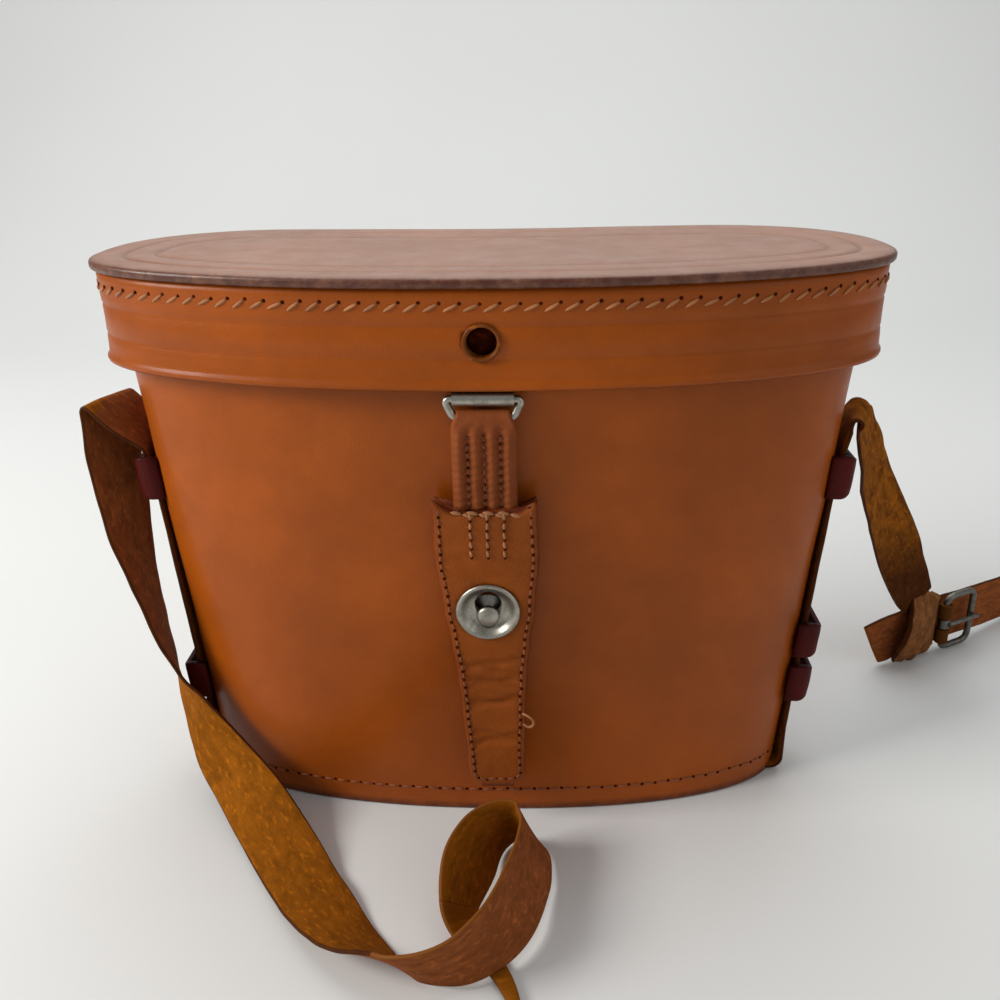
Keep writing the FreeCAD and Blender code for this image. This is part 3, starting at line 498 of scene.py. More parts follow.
def skin(name, rings, materials, ring_closed=True, path_closed=False, caps=True, edges=None,
         uvs=None, tints=None):
    """Object at the origin with a mesh through rings of points in millimetres.

    edges gives how much each point of a ring is a cut edge, tints the material of each face round
    a ring, and uvs each ring's and each point's place on the flat hide.
    """
    count = len(rings[0])
    rows = len(rings)
    faces = []
    slots = []
    places = []
    for row in range(rows if path_closed else rows - 1):
        for column in range(count if ring_closed else count - 1):
            ahead = (row + 1) % rows
            beside = (column + 1) % count
            here = row * count
            there = ahead * count
            faces.append((here + column, here + beside, there + beside, there + column))
            slots.append(tints[column] if tints else 0)
            if uvs:
                far = min(row + 1, rows - 1)
                places += [(uvs[0][r] * MM, uvs[1][c] * MM)
                           for r, c in ((row, column), (row, beside), (far, beside), (far, column))]
    if caps:
        faces += [tuple(range(count)), tuple(range((rows - 1) * count, rows * count))]
        slots += [max(slots)] * 2
    mesh = bpy.data.meshes.new(name)
    mesh.from_pydata([point * MM for ring in rings for point in ring], [], faces)
    if uvs:
        layer = mesh.uv_layers.new(name="flat_hide")
        for corner, spot in zip(layer.data, places):
            corner.uv = spot
    wear = mesh.attributes.new("edge", "FLOAT", "POINT")
    wear.data.foreach_set("value", (edges or [0.0] * count) * rows)
    for face, slot in zip(mesh.polygons, slots):
        face.material_index = slot
        face.use_smooth = True
    faced_out(mesh)
    for key in materials:
        mesh.materials.append(MATERIALS[key])
    return linked(name, mesh)


def dress(piece, body, slot, *nodes):
    """Lets a piece ride on a body and stand for frame nodes, which it hides; the finish slot is not
    used.
    """
    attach(piece, body)
    if nodes:
        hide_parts(*nodes)
    return piece


def uneven(place, amount, size):
    """Smooth stray of a surface, in millimetres, with the same value each run."""
    return amount * noise.noise(place / size)


def band_section(half_width, half_thick, across_count):
    """Section of a flat strap: places across and through, their cut edge share, and face kinds."""
    curve = min(0.35, half_thick * 0.8)
    front = [
        (share * (half_width - curve), half_thick) for share in between(-1, 1, across_count - 1)]
    corner = [(half_width - curve * 0.25, half_thick - curve * 0.35), (half_width, 0),
              (half_width - curve * 0.25, -half_thick + curve * 0.35)]
    back = [(-x, -z) for x, z in front]
    other = [(-x, -z) for x, z in corner]
    section = front + corner + back + other
    edges = [0.25] + [0] * (across_count - 2) + [0.25] + [1] * 3
    tints = [0] * (across_count - 1) + [1] * 4 + [2] * (across_count - 1) + [1] * 4
    return section, edges + edges, tints


def band(name, stations, thick, materials, shape, across_count=9, path_closed=False):
    """Flat strap along stations: centre, direction across, direction through, half width.

    shape gives how far the strap strays through its thickness at a share of its length and width.
    """
    rings = []
    along = [0.0]
    for index, (centre, across, through, half) in enumerate(stations):
        section, edges, tints = band_section(half, thick / 2, across_count)
        ring = []
        for x, z in section:
            point = centre + across * x + through * z
            point = point + shape(index / (len(stations) - 1), x / max(half, 0.1), point) * through
            point.z = max(point.z, 0.05)
            ring.append(point)
        rings.append(ring)
        if index:
            along.append(along[-1] + (centre - stations[index - 1][0]).length)
    across_places = [x for x, z in section]
    return skin(name, rings, materials, path_closed=path_closed, caps=not path_closed, edges=edges,
                uvs=(along, across_places), tints=tints)


def lathe(name, profile, centre, axis, materials, steps=64):
    """Turned piece from radius and height pairs about an axis, closed where its radius is zero."""
    side = axis.orthogonal().normalized()
    other = axis.cross(side)
    rings = []
    for turn in between(0, 2 * math.pi, steps)[:-1]:
        direction = side * math.cos(turn) + other * math.sin(turn)
        rings.append([centre + direction * radius + axis * height for radius, height in profile])
    piece = skin(name, rings, materials, path_closed=True, caps=False)
    faced_out(piece.data, weld=0.002)
    return piece


def heading(path, index, closed=False):
    """Direction of a path at one of its points."""
    last = len(path) - 1
    if closed:
        return (path[(index + 1) % len(path)] - path[index - 1]).normalized()
    return (path[min(index + 1, last)] - path[max(index - 1, 0)]).normalized()


def rounded(points, radius, steps=5, closed=False):
    """Path of points with its corners cut by arcs."""
    path = []
    count = len(points)
    for index, corner in enumerate(points):
        if not closed and index in (0, count - 1):
            path.append(corner)
            continue
        back = points[index - 1] - corner
        ahead = points[(index + 1) % count] - corner
        reach = min(radius, back.length * 0.49, ahead.length * 0.49)
        start = corner + back.normalized() * reach
        end = corner + ahead.normalized() * reach
        for step in range(steps + 1):
            share = step / steps
            path.append(start.lerp(corner, share).lerp(corner.lerp(end, share), share))
    return path


def tube(name, path, radius, materials, closed=False, sides=14):
    """Round wire along a path of points."""
    rings = []
    side = None
    for index, point in enumerate(path):
        along = heading(path, index, closed)
        side = along.orthogonal() if side is None else side - along * side.dot(along)
        side = side.normalized()
        other = along.cross(side)
        rings.append([point + (side * math.cos(turn) + other * math.sin(turn)) * radius
                      for turn in between(0, 2 * math.pi, sides)[:-1]])
    return skin(name, rings, materials, path_closed=closed, caps=not closed)


def punch(piece, start, end, radius):
    """Cuts a round hole through a piece."""
    cutter = tube("cutter", [start, end], radius, ["saddle"], sides=48)
    modifier = piece.modifiers.new("hole", "BOOLEAN")
    modifier.object = cutter
    modifier.solver = "EXACT"
    pierced = baked(piece)
    piece.modifiers.remove(modifier)
    piece.data = pierced
    bpy.data.objects.remove(cutter)


def stitch_tree():
    """Node tree, shared by all rows, that sets a stitch and an awl hole at each step of a path."""
    tree = bpy.data.node_groups.new("saddle_stitches", "GeometryNodeTree")
    face = tree.interface
    face.new_socket("Path", in_out="INPUT", socket_type="NodeSocketGeometry")
    for kind, labels in (
            ("Float", ("Pitch", "Length", "Width", "Slant", "Stand", "Hole", "Jitter")),
            ("Int", ("Seed",)), ("Material", ("Thread", "Shade"))):
        for label in labels:
            face.new_socket(label, in_out="INPUT", socket_type="NodeSocket" + kind)
    face.new_socket("Stitches", in_out="OUTPUT", socket_type="NodeSocketGeometry")
    given = add(tree, "NodeGroupInput").outputs

    def made(kind, inputs=None, **settings):
        """First output of a new node."""
        return add(tree, kind, inputs, **settings).outputs[0]

    def set_at(points, bead, scale, turned, material, shift=None):
        """Copies of a bead at points, as real geometry with a material."""
        copies = made(
            "GeometryNodeInstanceOnPoints",
            {"Points": points,
             "Instance": made("GeometryNodeTransform", {"Geometry": bead, "Scale": scale}),
             "Rotation": turned})
        if shift:
            copies = made("GeometryNodeTranslateInstances", {
                "Instances": copies, "Translation": shift, "Local Space": True})
        real = made("GeometryNodeRealizeInstances", {"Geometry": copies})
        return made("GeometryNodeSetMaterial", {"Geometry": real, "Material": material})

    half_long, half_wide, half_pitch = (
        made("ShaderNodeMath", {0: given[key], 1: 0.5}, operation="MULTIPLY")
        for key in ("Length", "Width", "Pitch"))
    curve = made("GeometryNodeMeshToCurve", {"Mesh": given["Path"]})
    steps = made(
        "GeometryNodeResampleCurve", {"Curve": curve, "Length": given["Pitch"]}, mode="LENGTH")
    outward = made("GeometryNodeInputNamedAttribute", {"Name": "out"}, data_type="FLOAT_VECTOR")
    facing = made("FunctionNodeAxesToRotation",
                  {"Primary Axis": made("GeometryNodeInputTangent"), "Secondary Axis": outward},
                  primary_axis="X", secondary_axis="Z")
    stray = add(tree, "FunctionNodeRandomValue", {"Seed": given["Seed"]}, data_type="FLOAT")
    low, high = [socket for socket in stray.inputs if socket.type == "VALUE"][:2]
    back = made("ShaderNodeMath", {0: given["Jitter"], 1: -1.0}, operation="MULTIPLY")
    tree.links.new(back, low)
    tree.links.new(given["Jitter"], high)
    strayed = [socket for socket in stray.outputs if socket.type == "VALUE"][0]
    leaned = made("ShaderNodeMath", {0: given["Slant"], 1: strayed}, operation="ADD")
    slant = made("ShaderNodeCombineXYZ", {"Z": leaned})
    turned = made(
        "FunctionNodeRotateRotation",
        {"Rotation": facing, "Rotate By": made("FunctionNodeEulerToRotation", {"Euler": slant})},
        rotation_space="LOCAL")
    rise = made("ShaderNodeVectorMath", {0: outward, "Scale": given["Stand"]}, operation="SCALE")
    raised = made("GeometryNodeSetPosition", {"Geometry": steps, "Offset": rise})
    ball = made("GeometryNodeMeshUVSphere", {"Segments": 8, "Rings": 6, "Radius": 1.0})
    smooth = made("GeometryNodeSetShadeSmooth", {"Geometry": ball})
    size = made("ShaderNodeCombineXYZ", {"X": half_long, "Y": half_wide, "Z": half_wide})
    threads = set_at(raised, smooth, size, turned, given["Thread"])
    pit = made("GeometryNodeMeshUVSphere", {"Segments": 8, "Rings": 4, "Radius": 0.5})
    dent = made("ShaderNodeCombineXYZ", {"X": given["Hole"], "Y": given["Hole"], "Z": half_wide})
    shift = made("ShaderNodeCombineXYZ", {"X": half_pitch})
    holes = set_at(steps, pit, dent, turned, given["Shade"], shift)
    both = add(tree, "GeometryNodeJoinGeometry")
    tree.links.new(threads, both.inputs[0])
    tree.links.new(holes, both.inputs[0])
    add(tree, "NodeGroupOutput", {0: both.outputs[0]})
    return tree


def stitch_row(points, pitch, length, width, outs=None, closed=False, slant=0.0, stand=0.1,
               hole=0.95, jitter=0.12, thread="latch_thread", seed=0):
    """One row of stitches as a plain mesh, along places in millimetres, each with its way out."""
    tree = bpy.data.node_groups.get("saddle_stitches") or stitch_tree()
    mesh = bpy.data.meshes.new("row")
    edges = [(index, index + 1) for index in range(len(points) - 1)]
    if closed:
        edges.append((len(points) - 1, 0))
    mesh.from_pydata([point * MM for point in points], edges, [])
    direction = mesh.attributes.new("out", "FLOAT_VECTOR", "POINT")
    direction.data.foreach_set(
        "vector", [value for out in outs or [OUT] * len(points) for value in out])
    row = linked("row", mesh)
    modifier = row.modifiers.new("stitches", "NODES")
    modifier.node_group = tree
    values = {"Pitch": pitch * MM, "Length": length * MM, "Width": width * MM, "Stand": stand * MM,
              "Hole": hole * MM, "Slant": slant, "Jitter": jitter, "Thread": MATERIALS[thread],
              "Shade": MATERIALS["hole"], "Seed": bpy.context.scene.case_sizes.seed + seed}
    for item in tree.interface.items_tree:
        if item.item_type == "SOCKET" and item.name in values:
            modifier[item.identifier] = values[item.name]
    sewn = baked(row)
    bpy.data.objects.remove(row)
    return sewn


def join_rows(name, rows):
    """One object from several baked rows."""
    names = []
    shape = bmesh.new()
    for mesh in rows:
        names += [material.name for material in mesh.materials
                  if material and material.name not in names]
        slots = [names.index(material.name) if material else 0 for material in mesh.materials]
        for face in mesh.polygons:
            face.material_index = slots[face.material_index]
        shape.from_mesh(mesh)
    joined = bpy.data.meshes.new(name)
    shape.to_mesh(joined)
    shape.free()
    joined.attributes.remove(joined.attributes["out"])
    for material in names:
        joined.materials.append(bpy.data.materials[material])
    return linked(name, joined)


class CASE_OT_materials(bpy.types.Operator):
    """Makes the leathers, threads, cloth and metals, and dresses the frame nodes that stay"""
    bl_idname = "case.materials"
    bl_label = "Finishes"

    def execute(self, context):
        make_materials(context.scene.case_colours)
        stays = {"body_lining": "lining", "base_lining": "lining", "lid_lining": "lining",
                 "base_panel": "board", "loop_chape": "nickel", "plate_backing": "nickel_tarnish_and_shade",
                 "stud_washer": "nickel_tarnish_and_shade", "tab_springs": "spring"}
        for node, key in stays.items():
            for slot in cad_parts[node].material_slots:
                slot.material = MATERIALS[key]
        return {"FINISHED"}


class CASE_OT_body(bpy.types.Operator):
    """Makes the moulded body wall, from its foot rim to the neck inside the lid"""
    bl_idname = "case.body"
    bl_label = "Body wall"

    def execute(self, context):
        amount = context.scene.case_sizes.unevenness / MM
        heights = [0.5, 1.4, 3, 6] + between(10, 120, 34) + [124, 126.2, 127.5, 135, 144]
        outer = [(height, 0.0) for height in heights]
        crown = [(rim_high - 0.6, 0.1), (rim_high - 0.15, 0.6), (rim_high, body_wall / 2),
                 (rim_high - 0.15, body_wall - 0.6), (rim_high - 0.6, body_wall - 0.1)]
        inner = [(height, body_wall) for height in (140, 126.2, 90, 50, 10, 0.6)]
        foot = [(0.15, body_wall - 0.6), (0.0, body_wall / 2), (0.1, 0.5)]
        profile = outer + crown + inner + foot
        # Every point below 2.2 mm, or within 1 mm of the rim, takes the darker edge colour.
        edges = [0.85 if height < 2.2 or rim_high - height < 1 else 0.0 for height, _ in profile]
        rings = []
        for turn in lid_turns:
            outward = outline(lid_plan, turn)[1]
            ring = []
            for height, inset in profile:
                point = body_place(turn, height, inset)
                if inset == 0 and 6 <= height <= 120:
                    fade = min(1, (height - 3) / 12, (124 - height) / 12)
                    stray = uneven(point, amount, 34) + uneven(point + RIGHT * 50, amount * 0.3, 11)
                    point = point + outward * stray * fade
                ring.append(point)
            rings.append(ring)
        piece = skin(
            "body_wall_moulded", rings, ["saddle"], path_closed=True, caps=False, edges=edges)
        dress(piece, "case", "saddle_leather", "body_shell")
        return {"FINISHED"}


class CASE_OT_lid(bpy.types.Operator):
    """Makes the lid's skirt with its bead and moulded lines, and the top with its pressed lines"""
    bl_idname = "case.lid"
    bl_label = "Lid"

    def execute(self, context):
        self.skirt(context.scene.case_sizes.unevenness / MM)
        self.top()
        return {"FINISHED"}

    def skirt(self, amount):
        """Wall of the lid."""
        groove = 0.28
        outer = [(126.9, -0.15), (127.5, -0.35), (128.0, -0.3), (128.5, 0.1), (129.2, 0.25),
                 (131.5, 0.3), (133.2, 0.42), (133.8, 0.42 + groove), (134.4, 0.4), (137.0, 0.42),
                 (140.6, 0.36), (141.2, 0.36 + groove), (141.8, 0.28), (143.4, 0.16), (145.4, 0.2),
                 (147.4, 0.06), (149.5, 0.0)]
        inner = [(149.5, lid_wall), (140.0, lid_wall), (130.0, lid_wall), (127.1, lid_wall - 0.1)]
        foot = [(lid_low + 0.1, lid_wall - 0.6), (lid_low, lid_wall / 2), (lid_low + 0.1, 0.3)]
        profile = outer + inner + foot
        edges = [0.0] * len(outer) + [0.3] * len(inner) + [0.9] * len(foot)
        rings = []
        for turn in lid_turns:
            ring = []
            for height, inset in profile:
                spot, outward = outline(lid_plan, turn, inset)
                spot.z = height
                if inset < 1.0:
                    spot = spot + outward * uneven(spot, amount * 0.35, 22)
                ring.append(spot)
            rings.append(ring)
        wall = skin(
            "lid_skirt_moulded", rings, ["saddle"], path_closed=True, caps=False, edges=edges)
        centre = (eyelet_low + eyelet_high) / 2
        punch(wall, centre - Vector((0, 12, 0)), centre + Vector((0, 12, 0)), 3.8)
        dress(wall, "lid", "saddle_leather", "lid_wall")

    def top(self):
        """Panel over the skirt: burnished edge, pressed lines, and a slight dish between them."""
        low = panel_low
        high = case_high
        line = 0.45
        waver = 0.12
        profile = [(low, 3.0), (low, 0.2), (low + 0.05, -0.9), (low + 0.5, -1.25),
                   (low + 1.2, -top_overhang), (high - 0.75, -1.28), (high - 0.3, -1.0),
                   (high - 0.08, -0.4), (high, 0.6), (high, 2.4), (high - 0.05, 4.2),
                   (high - 0.05, 6.2), (high - line, 6.9), (high - line, 7.3), (high - 0.02, 8.0),
                   (high, 9.2), (high - 0.12, 11.0), (high - 0.16, 13.8), (high - line, 14.5),
                   (high - line, 14.9), (high - 0.2, 15.6), (high - 0.25, 18.0)]
        edges = [
            0.7, 1, 1, 1, 1, 1, 0.9, 0.55, 0.2, 0.05, 0, 0, 0.5, 0.5, 0, 0, 0, 0, 0.5, 0.5, 0, 0]
        spine_steps = 7
        rings = []
        for turn in lid_turns:
            ring = []
            for height, inset in profile:
                spot = outline(lid_plan, turn, inset)[0]
                spot.z = height
                if inset > -1.0 and height > high - 0.4:
                    spot.z += uneven(spot, waver, 26)
                ring.append(spot)
            last = ring[-1]
            spine_x = last.x * 0.72
            middle = (1 - (spine_x / lid_plan[0]) ** 2) ** 2
            spine = Vector((spine_x, widest_y + 6.5 - 8.5 * middle, high - 0.6))
            for step in range(1, spine_steps + 1):
                share = step / spine_steps
                spot = last.lerp(spine, share * 0.98)
                dish = 0.35 * math.sin(share * math.pi / 2)
                spot.z = last.z - dish + uneven(spot, waver, 26) * (1 - share)
                ring.append(spot)
            rings.append(ring)
        edges += [0] * spine_steps
        panel = skin("lid_top_pressed", list(zip(*rings)), ["top"])
        marks = [value for value in edges for _ in range(around)]
        panel.data.attributes["edge"].data.foreach_set("value", marks)
        dress(panel, "lid", "top_leather", "lid_top")


class CASE_OT_latch_metal(bpy.types.Operator):
    """Makes the eyelet, the wire loop, the dished keyhole plate and the stud"""
    bl_idname = "case.latch_metal"
    bl_label = "Latch metal"

    def execute(self, context):
        forward = Vector((0, -1, 0))
        centre = Vector(
            (0, widest_y - lid_plan[1] - lid_plan[2], (eyelet_low.z + eyelet_high.z) / 2))
        flange = [(3.45, -3.0), (3.4, -0.2), (3.5, 0.2), (3.8, 0.42), (4.15, 0.38), (4.38, 0.15),
                  (4.35, -0.05), (3.7, -0.1), (3.7, -3.2), (4.4, -3.25), (4.4, -3.6), (3.45, -3.6)]
        # Dark disc behind the eyelet's bore, in the awl-hole shade: painted shade for the dark
        # inside the hole, not cloth.
        cloth = [(0.0, -3.1), (3.4, -3.1), (3.4, -3.3), (0.0, -3.3)]
        backing = lathe("eyelet_cloth", cloth, centre, forward, ["hole"])
        dress(backing, "lid", "case_lining")
        eyelet = lathe("eyelet_lacquered", flange, centre, forward, ["lacquer"])
        dress(eyelet, "lid", "lacquered_metal", "lid_eyelet")
        corners = [top_bar + RIGHT * 8.85, low_bar + RIGHT * 6.85, low_bar - RIGHT * 6.85,
                   top_bar - RIGHT * 8.85]
        loop = tube(
            "wire_loop_bent", rounded(corners, 1.5, closed=True), wire, ["nickel"], closed=True)
        dress(loop, "loop", "nickel", "wire_loop")
        self.plate()
        self.stud()
        return {"FINISHED"}

    def plate(self):
        """Keyhole plate: rolled crown, dished cup, and a floor pierced by the keyhole."""
        centre = on_latch(0, plate_at)
        rise, radius, notch, drop = 1.6, 3.2, 1.6, 4.9

        def keyhole(turn):
            """Reach of the keyhole from the plate's middle: a circle over a round-footed slot."""
            x = math.cos(turn)
            y = math.sin(turn)
            along = y * rise
            reach = along + math.sqrt(max(along * along - rise * rise + radius * radius, 0))
            if y >= 0:
                return reach
            side = notch / max(abs(x), 1e-6)
            if side < (drop - notch) / max(-y, 1e-6):
                return max(reach, side)
            low = -y * (drop - notch)
            inner = low * low - (drop - notch) ** 2 + notch * notch
            return max(reach, low + math.sqrt(max(inner, 0)))

        profile = [(0.0, -0.3), (0.0, 0.2), (0.3, 0.4), (0.8, 0.42), (1.0, 0.44)]
        outer = [(4.9, 0.62), (5.3, 0.86), (5.8, 1.28), (6.3, 1.84), (6.75, 2.32), (7.15, 2.62),
                 (7.55, 2.6), (7.85, 2.35), (8.0, 1.95), (7.7, 1.72), (6.6, 1.5), (6.1, 0.9),
                 (5.6, 0.4), (5.0, 0.0), (4.5, -0.2)]
        rings = []
        for turn in between(0, 2 * math.pi, 120)[:-1]:
            direction = RIGHT * math.cos(turn) - DOWN * math.sin(turn)
            hole = keyhole(turn)
            brim = max(hole + 0.3, 4.4)
            ring = [centre + direction * (hole + share * (brim - hole)) + OUT * height
                    for share, height in profile]
            ring += [centre + direction * max(radius, hole + 0.32) + OUT * height
                     for radius, height in outer]
            rings.append(ring)
        piece = skin("keyhole_plate_dished", rings, ["nickel"], path_closed=True, caps=False)
        dress(piece, "latch", "nickel", "keyhole_plate")

    def stud(self):
        """Mushroom stud through the front wall."""
        centre = on_latch(0, stud_at)
        profile = [(0.0, 2.45), (1.2, 2.42), (2.1, 2.2), (2.75, 1.75), (2.9, 1.3), (2.75, 1.0),
                   (1.4, 0.9), (1.35, -1.4), (1.5, -1.75), (4.2, -2.0), (4.4, -2.35), (1.35, -2.45),
                   (1.3, -6.6), (0.0, -6.6)]
        dress(
            lathe("stud_turned", profile, centre, OUT, ["nickel"]), "case", "nickel", "catch_stud")


def latch_half(distance):
    """Half width of the latch strap at a distance below the loop."""
    table = ((18.0, 12.4), (24.0, 12.4), (36.0, 12.6), (50.0, 11.4), (60.0, 10.0), (70.0, 8.9),
             (80.0, 8.3), (100.0, 7.6), (103.2, 7.3), (104.6, 6.4), (105.4, 4.6))
    for (low, low_half), (high, high_half) in zip(table, table[1:]):
        if distance <= high:
            return low_half + (high_half - low_half) * eased((distance - low) / (high - low))
    return table[-1][1]


def latch_skew(distance):
    """How far the strap hangs off its middle line at a distance."""
    return 0.35 + 0.9 * (distance - plate_at) / 50


def pocket(distance):
    """Height of a layer's inner face, raised where the tab's tail is between the layers."""
    return 1.45 - 1.4 * held((distance - 33) / 8)


def blend_down_latch(piece):
    """Bakes a piece's transform into its mesh."""
    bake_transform(piece)


class CASE_OT_latch_tab(bpy.types.Operator):
    """Makes the folded elastic tab with its four stitched channels"""
    bl_idname = "case.latch_tab"
    bl_label = "Elastic tab"

    def execute(self, context):
        fold_at = -2.05
        fold_radius = 2.1
        rings = []
        for distance in between(fold_at, 24.45, 56):
            wide = 7.6 - 1.5 * math.exp(-((distance + 2.0) / 2.6) ** 2)
            open_share = held((distance - 1.0) / 3.0)
            front = []
            back = []
            for u in between(-1, 1, 48):
                bulge = abs(math.sin(math.pi * 2 * (u + 1)))
                pucker = 0.3 * math.sin(distance * 2 * math.pi / 1.9 + 7 * u) * (1 - 0.6 * bulge)
                depth = 1.05 + open_share * (1.5 * bulge ** 1.3 + pucker) + 1.1 * (1 - open_share)
                if distance > 21.5:
                    depth = 1.15 + (depth - 1.15) * max(0, (24.0 - distance) / 2.5)
                fold = distance - fold_at
                if fold < fold_radius:
                    rest = fold_radius ** 2 - (fold_radius - fold) ** 2
                    depth = math.sqrt(max(0.02, rest)) * 0.97
                depth += uneven(Vector((u * 7, distance, 3)), 0.16, 2.2)
                depth *= 1 - max(0, (abs(u) - 0.94) / 0.06) ** 2 * 0.6
                front.append(on_latch(u * wide, distance, depth))
                back.append(on_latch(u * wide, distance, -depth * 0.9))
            rings.append(front + back[::-1])
        piece = skin("elastic_tab_puckered", rings, ["tab"])
        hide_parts("latch_tab")
        blend_down_latch(piece)
        return {"FINISHED"}


class CASE_OT_latch_strap(bpy.types.Operator):
    """Makes the latch strap's two sewn layers, with ears at the top and creases below the plate"""
    bl_idname = "case.latch_strap"
    bl_label = "Latch strap"

    def execute(self, context):
        self.layer("latch_strap_outer", 1, "latch_strap_front", 0.0)
        self.layer("latch_strap_inner", -1, "latch_strap_back", 0.6)
        return {"FINISHED"}

    def top_edge(self, u):
        """Distance at which the strap starts, from its middle dip to its ears."""
        ear = max(0, (abs(u) - 0.55) / 0.45)
        return 22.9 - 3.4 * ear ** 1.1 + 1.2 * max(0, ear - 0.8) + 0.4 * math.cos(u * 9)

    def layer(self, name, side, node, proud):
        """One layer, from a flat inner to a crowned outer face; proud shifts its outline down."""
        across = 33
        rows = 120
        end = 106.6 if side > 0 else 108.4
        rings = []
        for share in between(0, 1, rows):
            front = []
            back = []
            for u in between(-1, 1, across - 1):
                start = self.top_edge(u) + (1.4 * abs(u) if side < 0 else 0)
                distance = start + (end - start) * share
                half = latch_half(distance - proud) - 0.4 * proud
                x = u * half + latch_skew(distance)
                from_edge = (1 - abs(u)) * half
                ends = min(from_edge, (distance - start) * 0.8 + 0.05, (end - distance) + 0.05)
                round_off = 1 - max(0, (0.7 - ends) / 0.7) ** 2 * 0.55
                swell = 0.2 * math.sin(math.pi * min(1, from_edge / 6) / 2)
                stitch_dip = -0.12 * math.exp(-((from_edge - border_inset) / 0.6) ** 2)
                thick = 1.6 * round_off + swell + stitch_dip - self.crease(u, distance)
                thick += uneven(Vector((x, distance, 8)), 0.18, 4)
                under_plate = math.hypot(x, distance - plate_at) < 8.3
                if under_plate:
                    thick *= 0.86
                inner_stand = pocket(distance) + 0.03
                if side > 0:
                    inner_stand += 4.5 * max(0, abs(u) - 0.8) * math.exp((start - distance) / 3.0)
                front.append(on_latch(x, distance, side * (inner_stand + thick)))
                back.append(on_latch(x, distance, side * inner_stand))
            rings.append(front + back[::-1])
        edge_row = [1.0, 0.15] + [0.0] * (across - 4) + [0.15, 1.0]
        piece = skin(name, rings, ["latch"], edges=edge_row * 2)
        cut = [1.0] * across * 2
        marks = cut + edge_row * 2 * (rows - 1) + cut
        piece.data.attributes["edge"].data.foreach_set("value", marks)
        punch(piece, on_latch(0, plate_at, 6), on_latch(0, plate_at, -6), 6.5)
        dress(piece, "latch", "saddle_leather", node)

    def crease(self, u, distance):
        """Depth of the creases under the plate at a share of the width and a distance."""
        if distance <= 60:
            return 0.0
        depths = 0.0
        for place, depth, width in (
                (66.0, 0.35, 0.9), (68.6, 0.3, 0.7), (71.2, 0.4, 0.9), (74.0, 0.3, 0.8),
                (77.6, 0.45, 0.9), (79.4, 0.3, 0.7), (88.6, 0.4, 0.8), (92.0, 0.5, 1.1)):
            sway = 0.9 * math.sin(u * 2.2 + place)
            bend = place + sway + uneven(Vector((u * 9, place, 1)), 1.2, 5)
            share = math.exp(-((distance - bend) / width) ** 2)
            depths += 1.4 * depth * share * max(0, 1 - abs(u) ** 4)
        return depths


class CASE_OT_hinge(bpy.types.Operator):
    """Makes the soft leather hinge at the back, one strip that bends between case and lid"""
    bl_idname = "case.hinge"
    bl_label = "Back hinge"

    def execute(self, context):
        low_leaf = box_mm("hinge_leaf_body")
        high_leaf = box_mm("hinge_leaf_lid")
        half = low_leaf[1].x
        low = low_leaf[0].z
        high = high_leaf[1].z
        thick = 1.5
        gap = 0.05
        rings = []
        for height in between(low, high, 60):
            from_end = min(height - low, high - height)
            inner = []
            outer = []
            for x in between(-half, half, 40):
                x *= 1 - 0.03 * (max(0, 3 - from_end) / 3) ** 2
                below = self.back_y(x, min(height, bend_low), False)
                above = self.back_y(x, height, True)
                y = gap + below + (above - below) * eased(held((height - bend_low) / 6.5))
                ends = min(half - abs(x), from_end)
                round_off = 1 - max(0, (0.6 - ends) / 0.6) ** 2 * 0.5
                inner.append(Vector((x, y, height)))
                outer.append(Vector((x, y + thick * round_off, height)))
            rings.append(outer + inner[::-1])
        edges = [1.0] + [0.0] * 39 + [1.0]
        piece = skin("hinge_strip_sewn", rings, ["latch"], edges=edges * 2)
        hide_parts("hinge_leaf_body", "hinge_leaf_lid", "hinge_fold")
        y = high_leaf[1].y * MM
        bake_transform(piece)
        return {"FINISHED"}

    @staticmethod
    def back_y(x, height, on_lid):
        """Y of the back wall of the lid or of the body at a place across."""
        low, high = math.radians(60), math.radians(120)
        for _ in range(24):
            middle = (low + high) / 2
            spot = outline(lid_plan, middle)[0] if on_lid else body_place(middle, height)
            if spot.x > x:
                low = middle
            else:
                high = middle
        return spot.y


class CASE_OT_keepers(bpy.types.Operator):
    """Makes the five side keepers, bands of dyed leather that come out of slits in the wall"""
    bl_idname = "case.keepers"
    bl_label = "Keepers"

    def execute(self, context):
        for node, side in (
                ("keeper_left_upper", -1), ("keeper_left_lower", -1), ("keeper_right_upper", 1),
                ("keeper_right_middle", 1), ("keeper_right_lower", 1)):
            low, high = box_mm(node)
            self.keeper(node, side, low.z, high.z)
        return {"FINISHED"}

    def keeper(self, node, side, low, high):
        """One loop over the strap."""
        middle = (low + high) / 2
        half = (high - low) / 2
        thick = 1.6
        wall = wall_half(middle)
        slope = (wall_half(high) - wall_half(low)) / (high - low)
        reach = run_gap + 2 * carry_shown + 0.7 + thick / 2
        wide = carry_half + 0.25 + thick / 2
        corners = [(-2.2, -wide), (reach, -wide), (reach, wide), (-2.2, wide)]
        points = [Vector((side * (wall + outward), widest_y + y, middle)) for outward, y in corners]
        path = rounded(points, 3.4, steps=8)
        across = Vector((side * slope, 0, 1)).normalized()
        stations = []
        for index, point in enumerate(path):
            through = heading(path, index).cross(across).normalized() * side
            share = index / (len(path) - 1)
            leg = max(0, 0.26 - min(share, 1 - share)) / 0.26
            narrow = 1 - 0.3 * math.sin(math.pi * share) ** 2 - 0.1 * leg ** 1.5
            stations.append((point - RIGHT * side * 0.2, across, through, half * narrow))

        def crown(share, u, point):
            return 0.175 * (1 - u * u) * math.sin(math.pi * share) + uneven(point, 0.15, 5)

        piece = band(node + "_folded", stations, thick, ["keeper"] * 3, crown)
        dress(piece, "case", "keeper_leather", node)


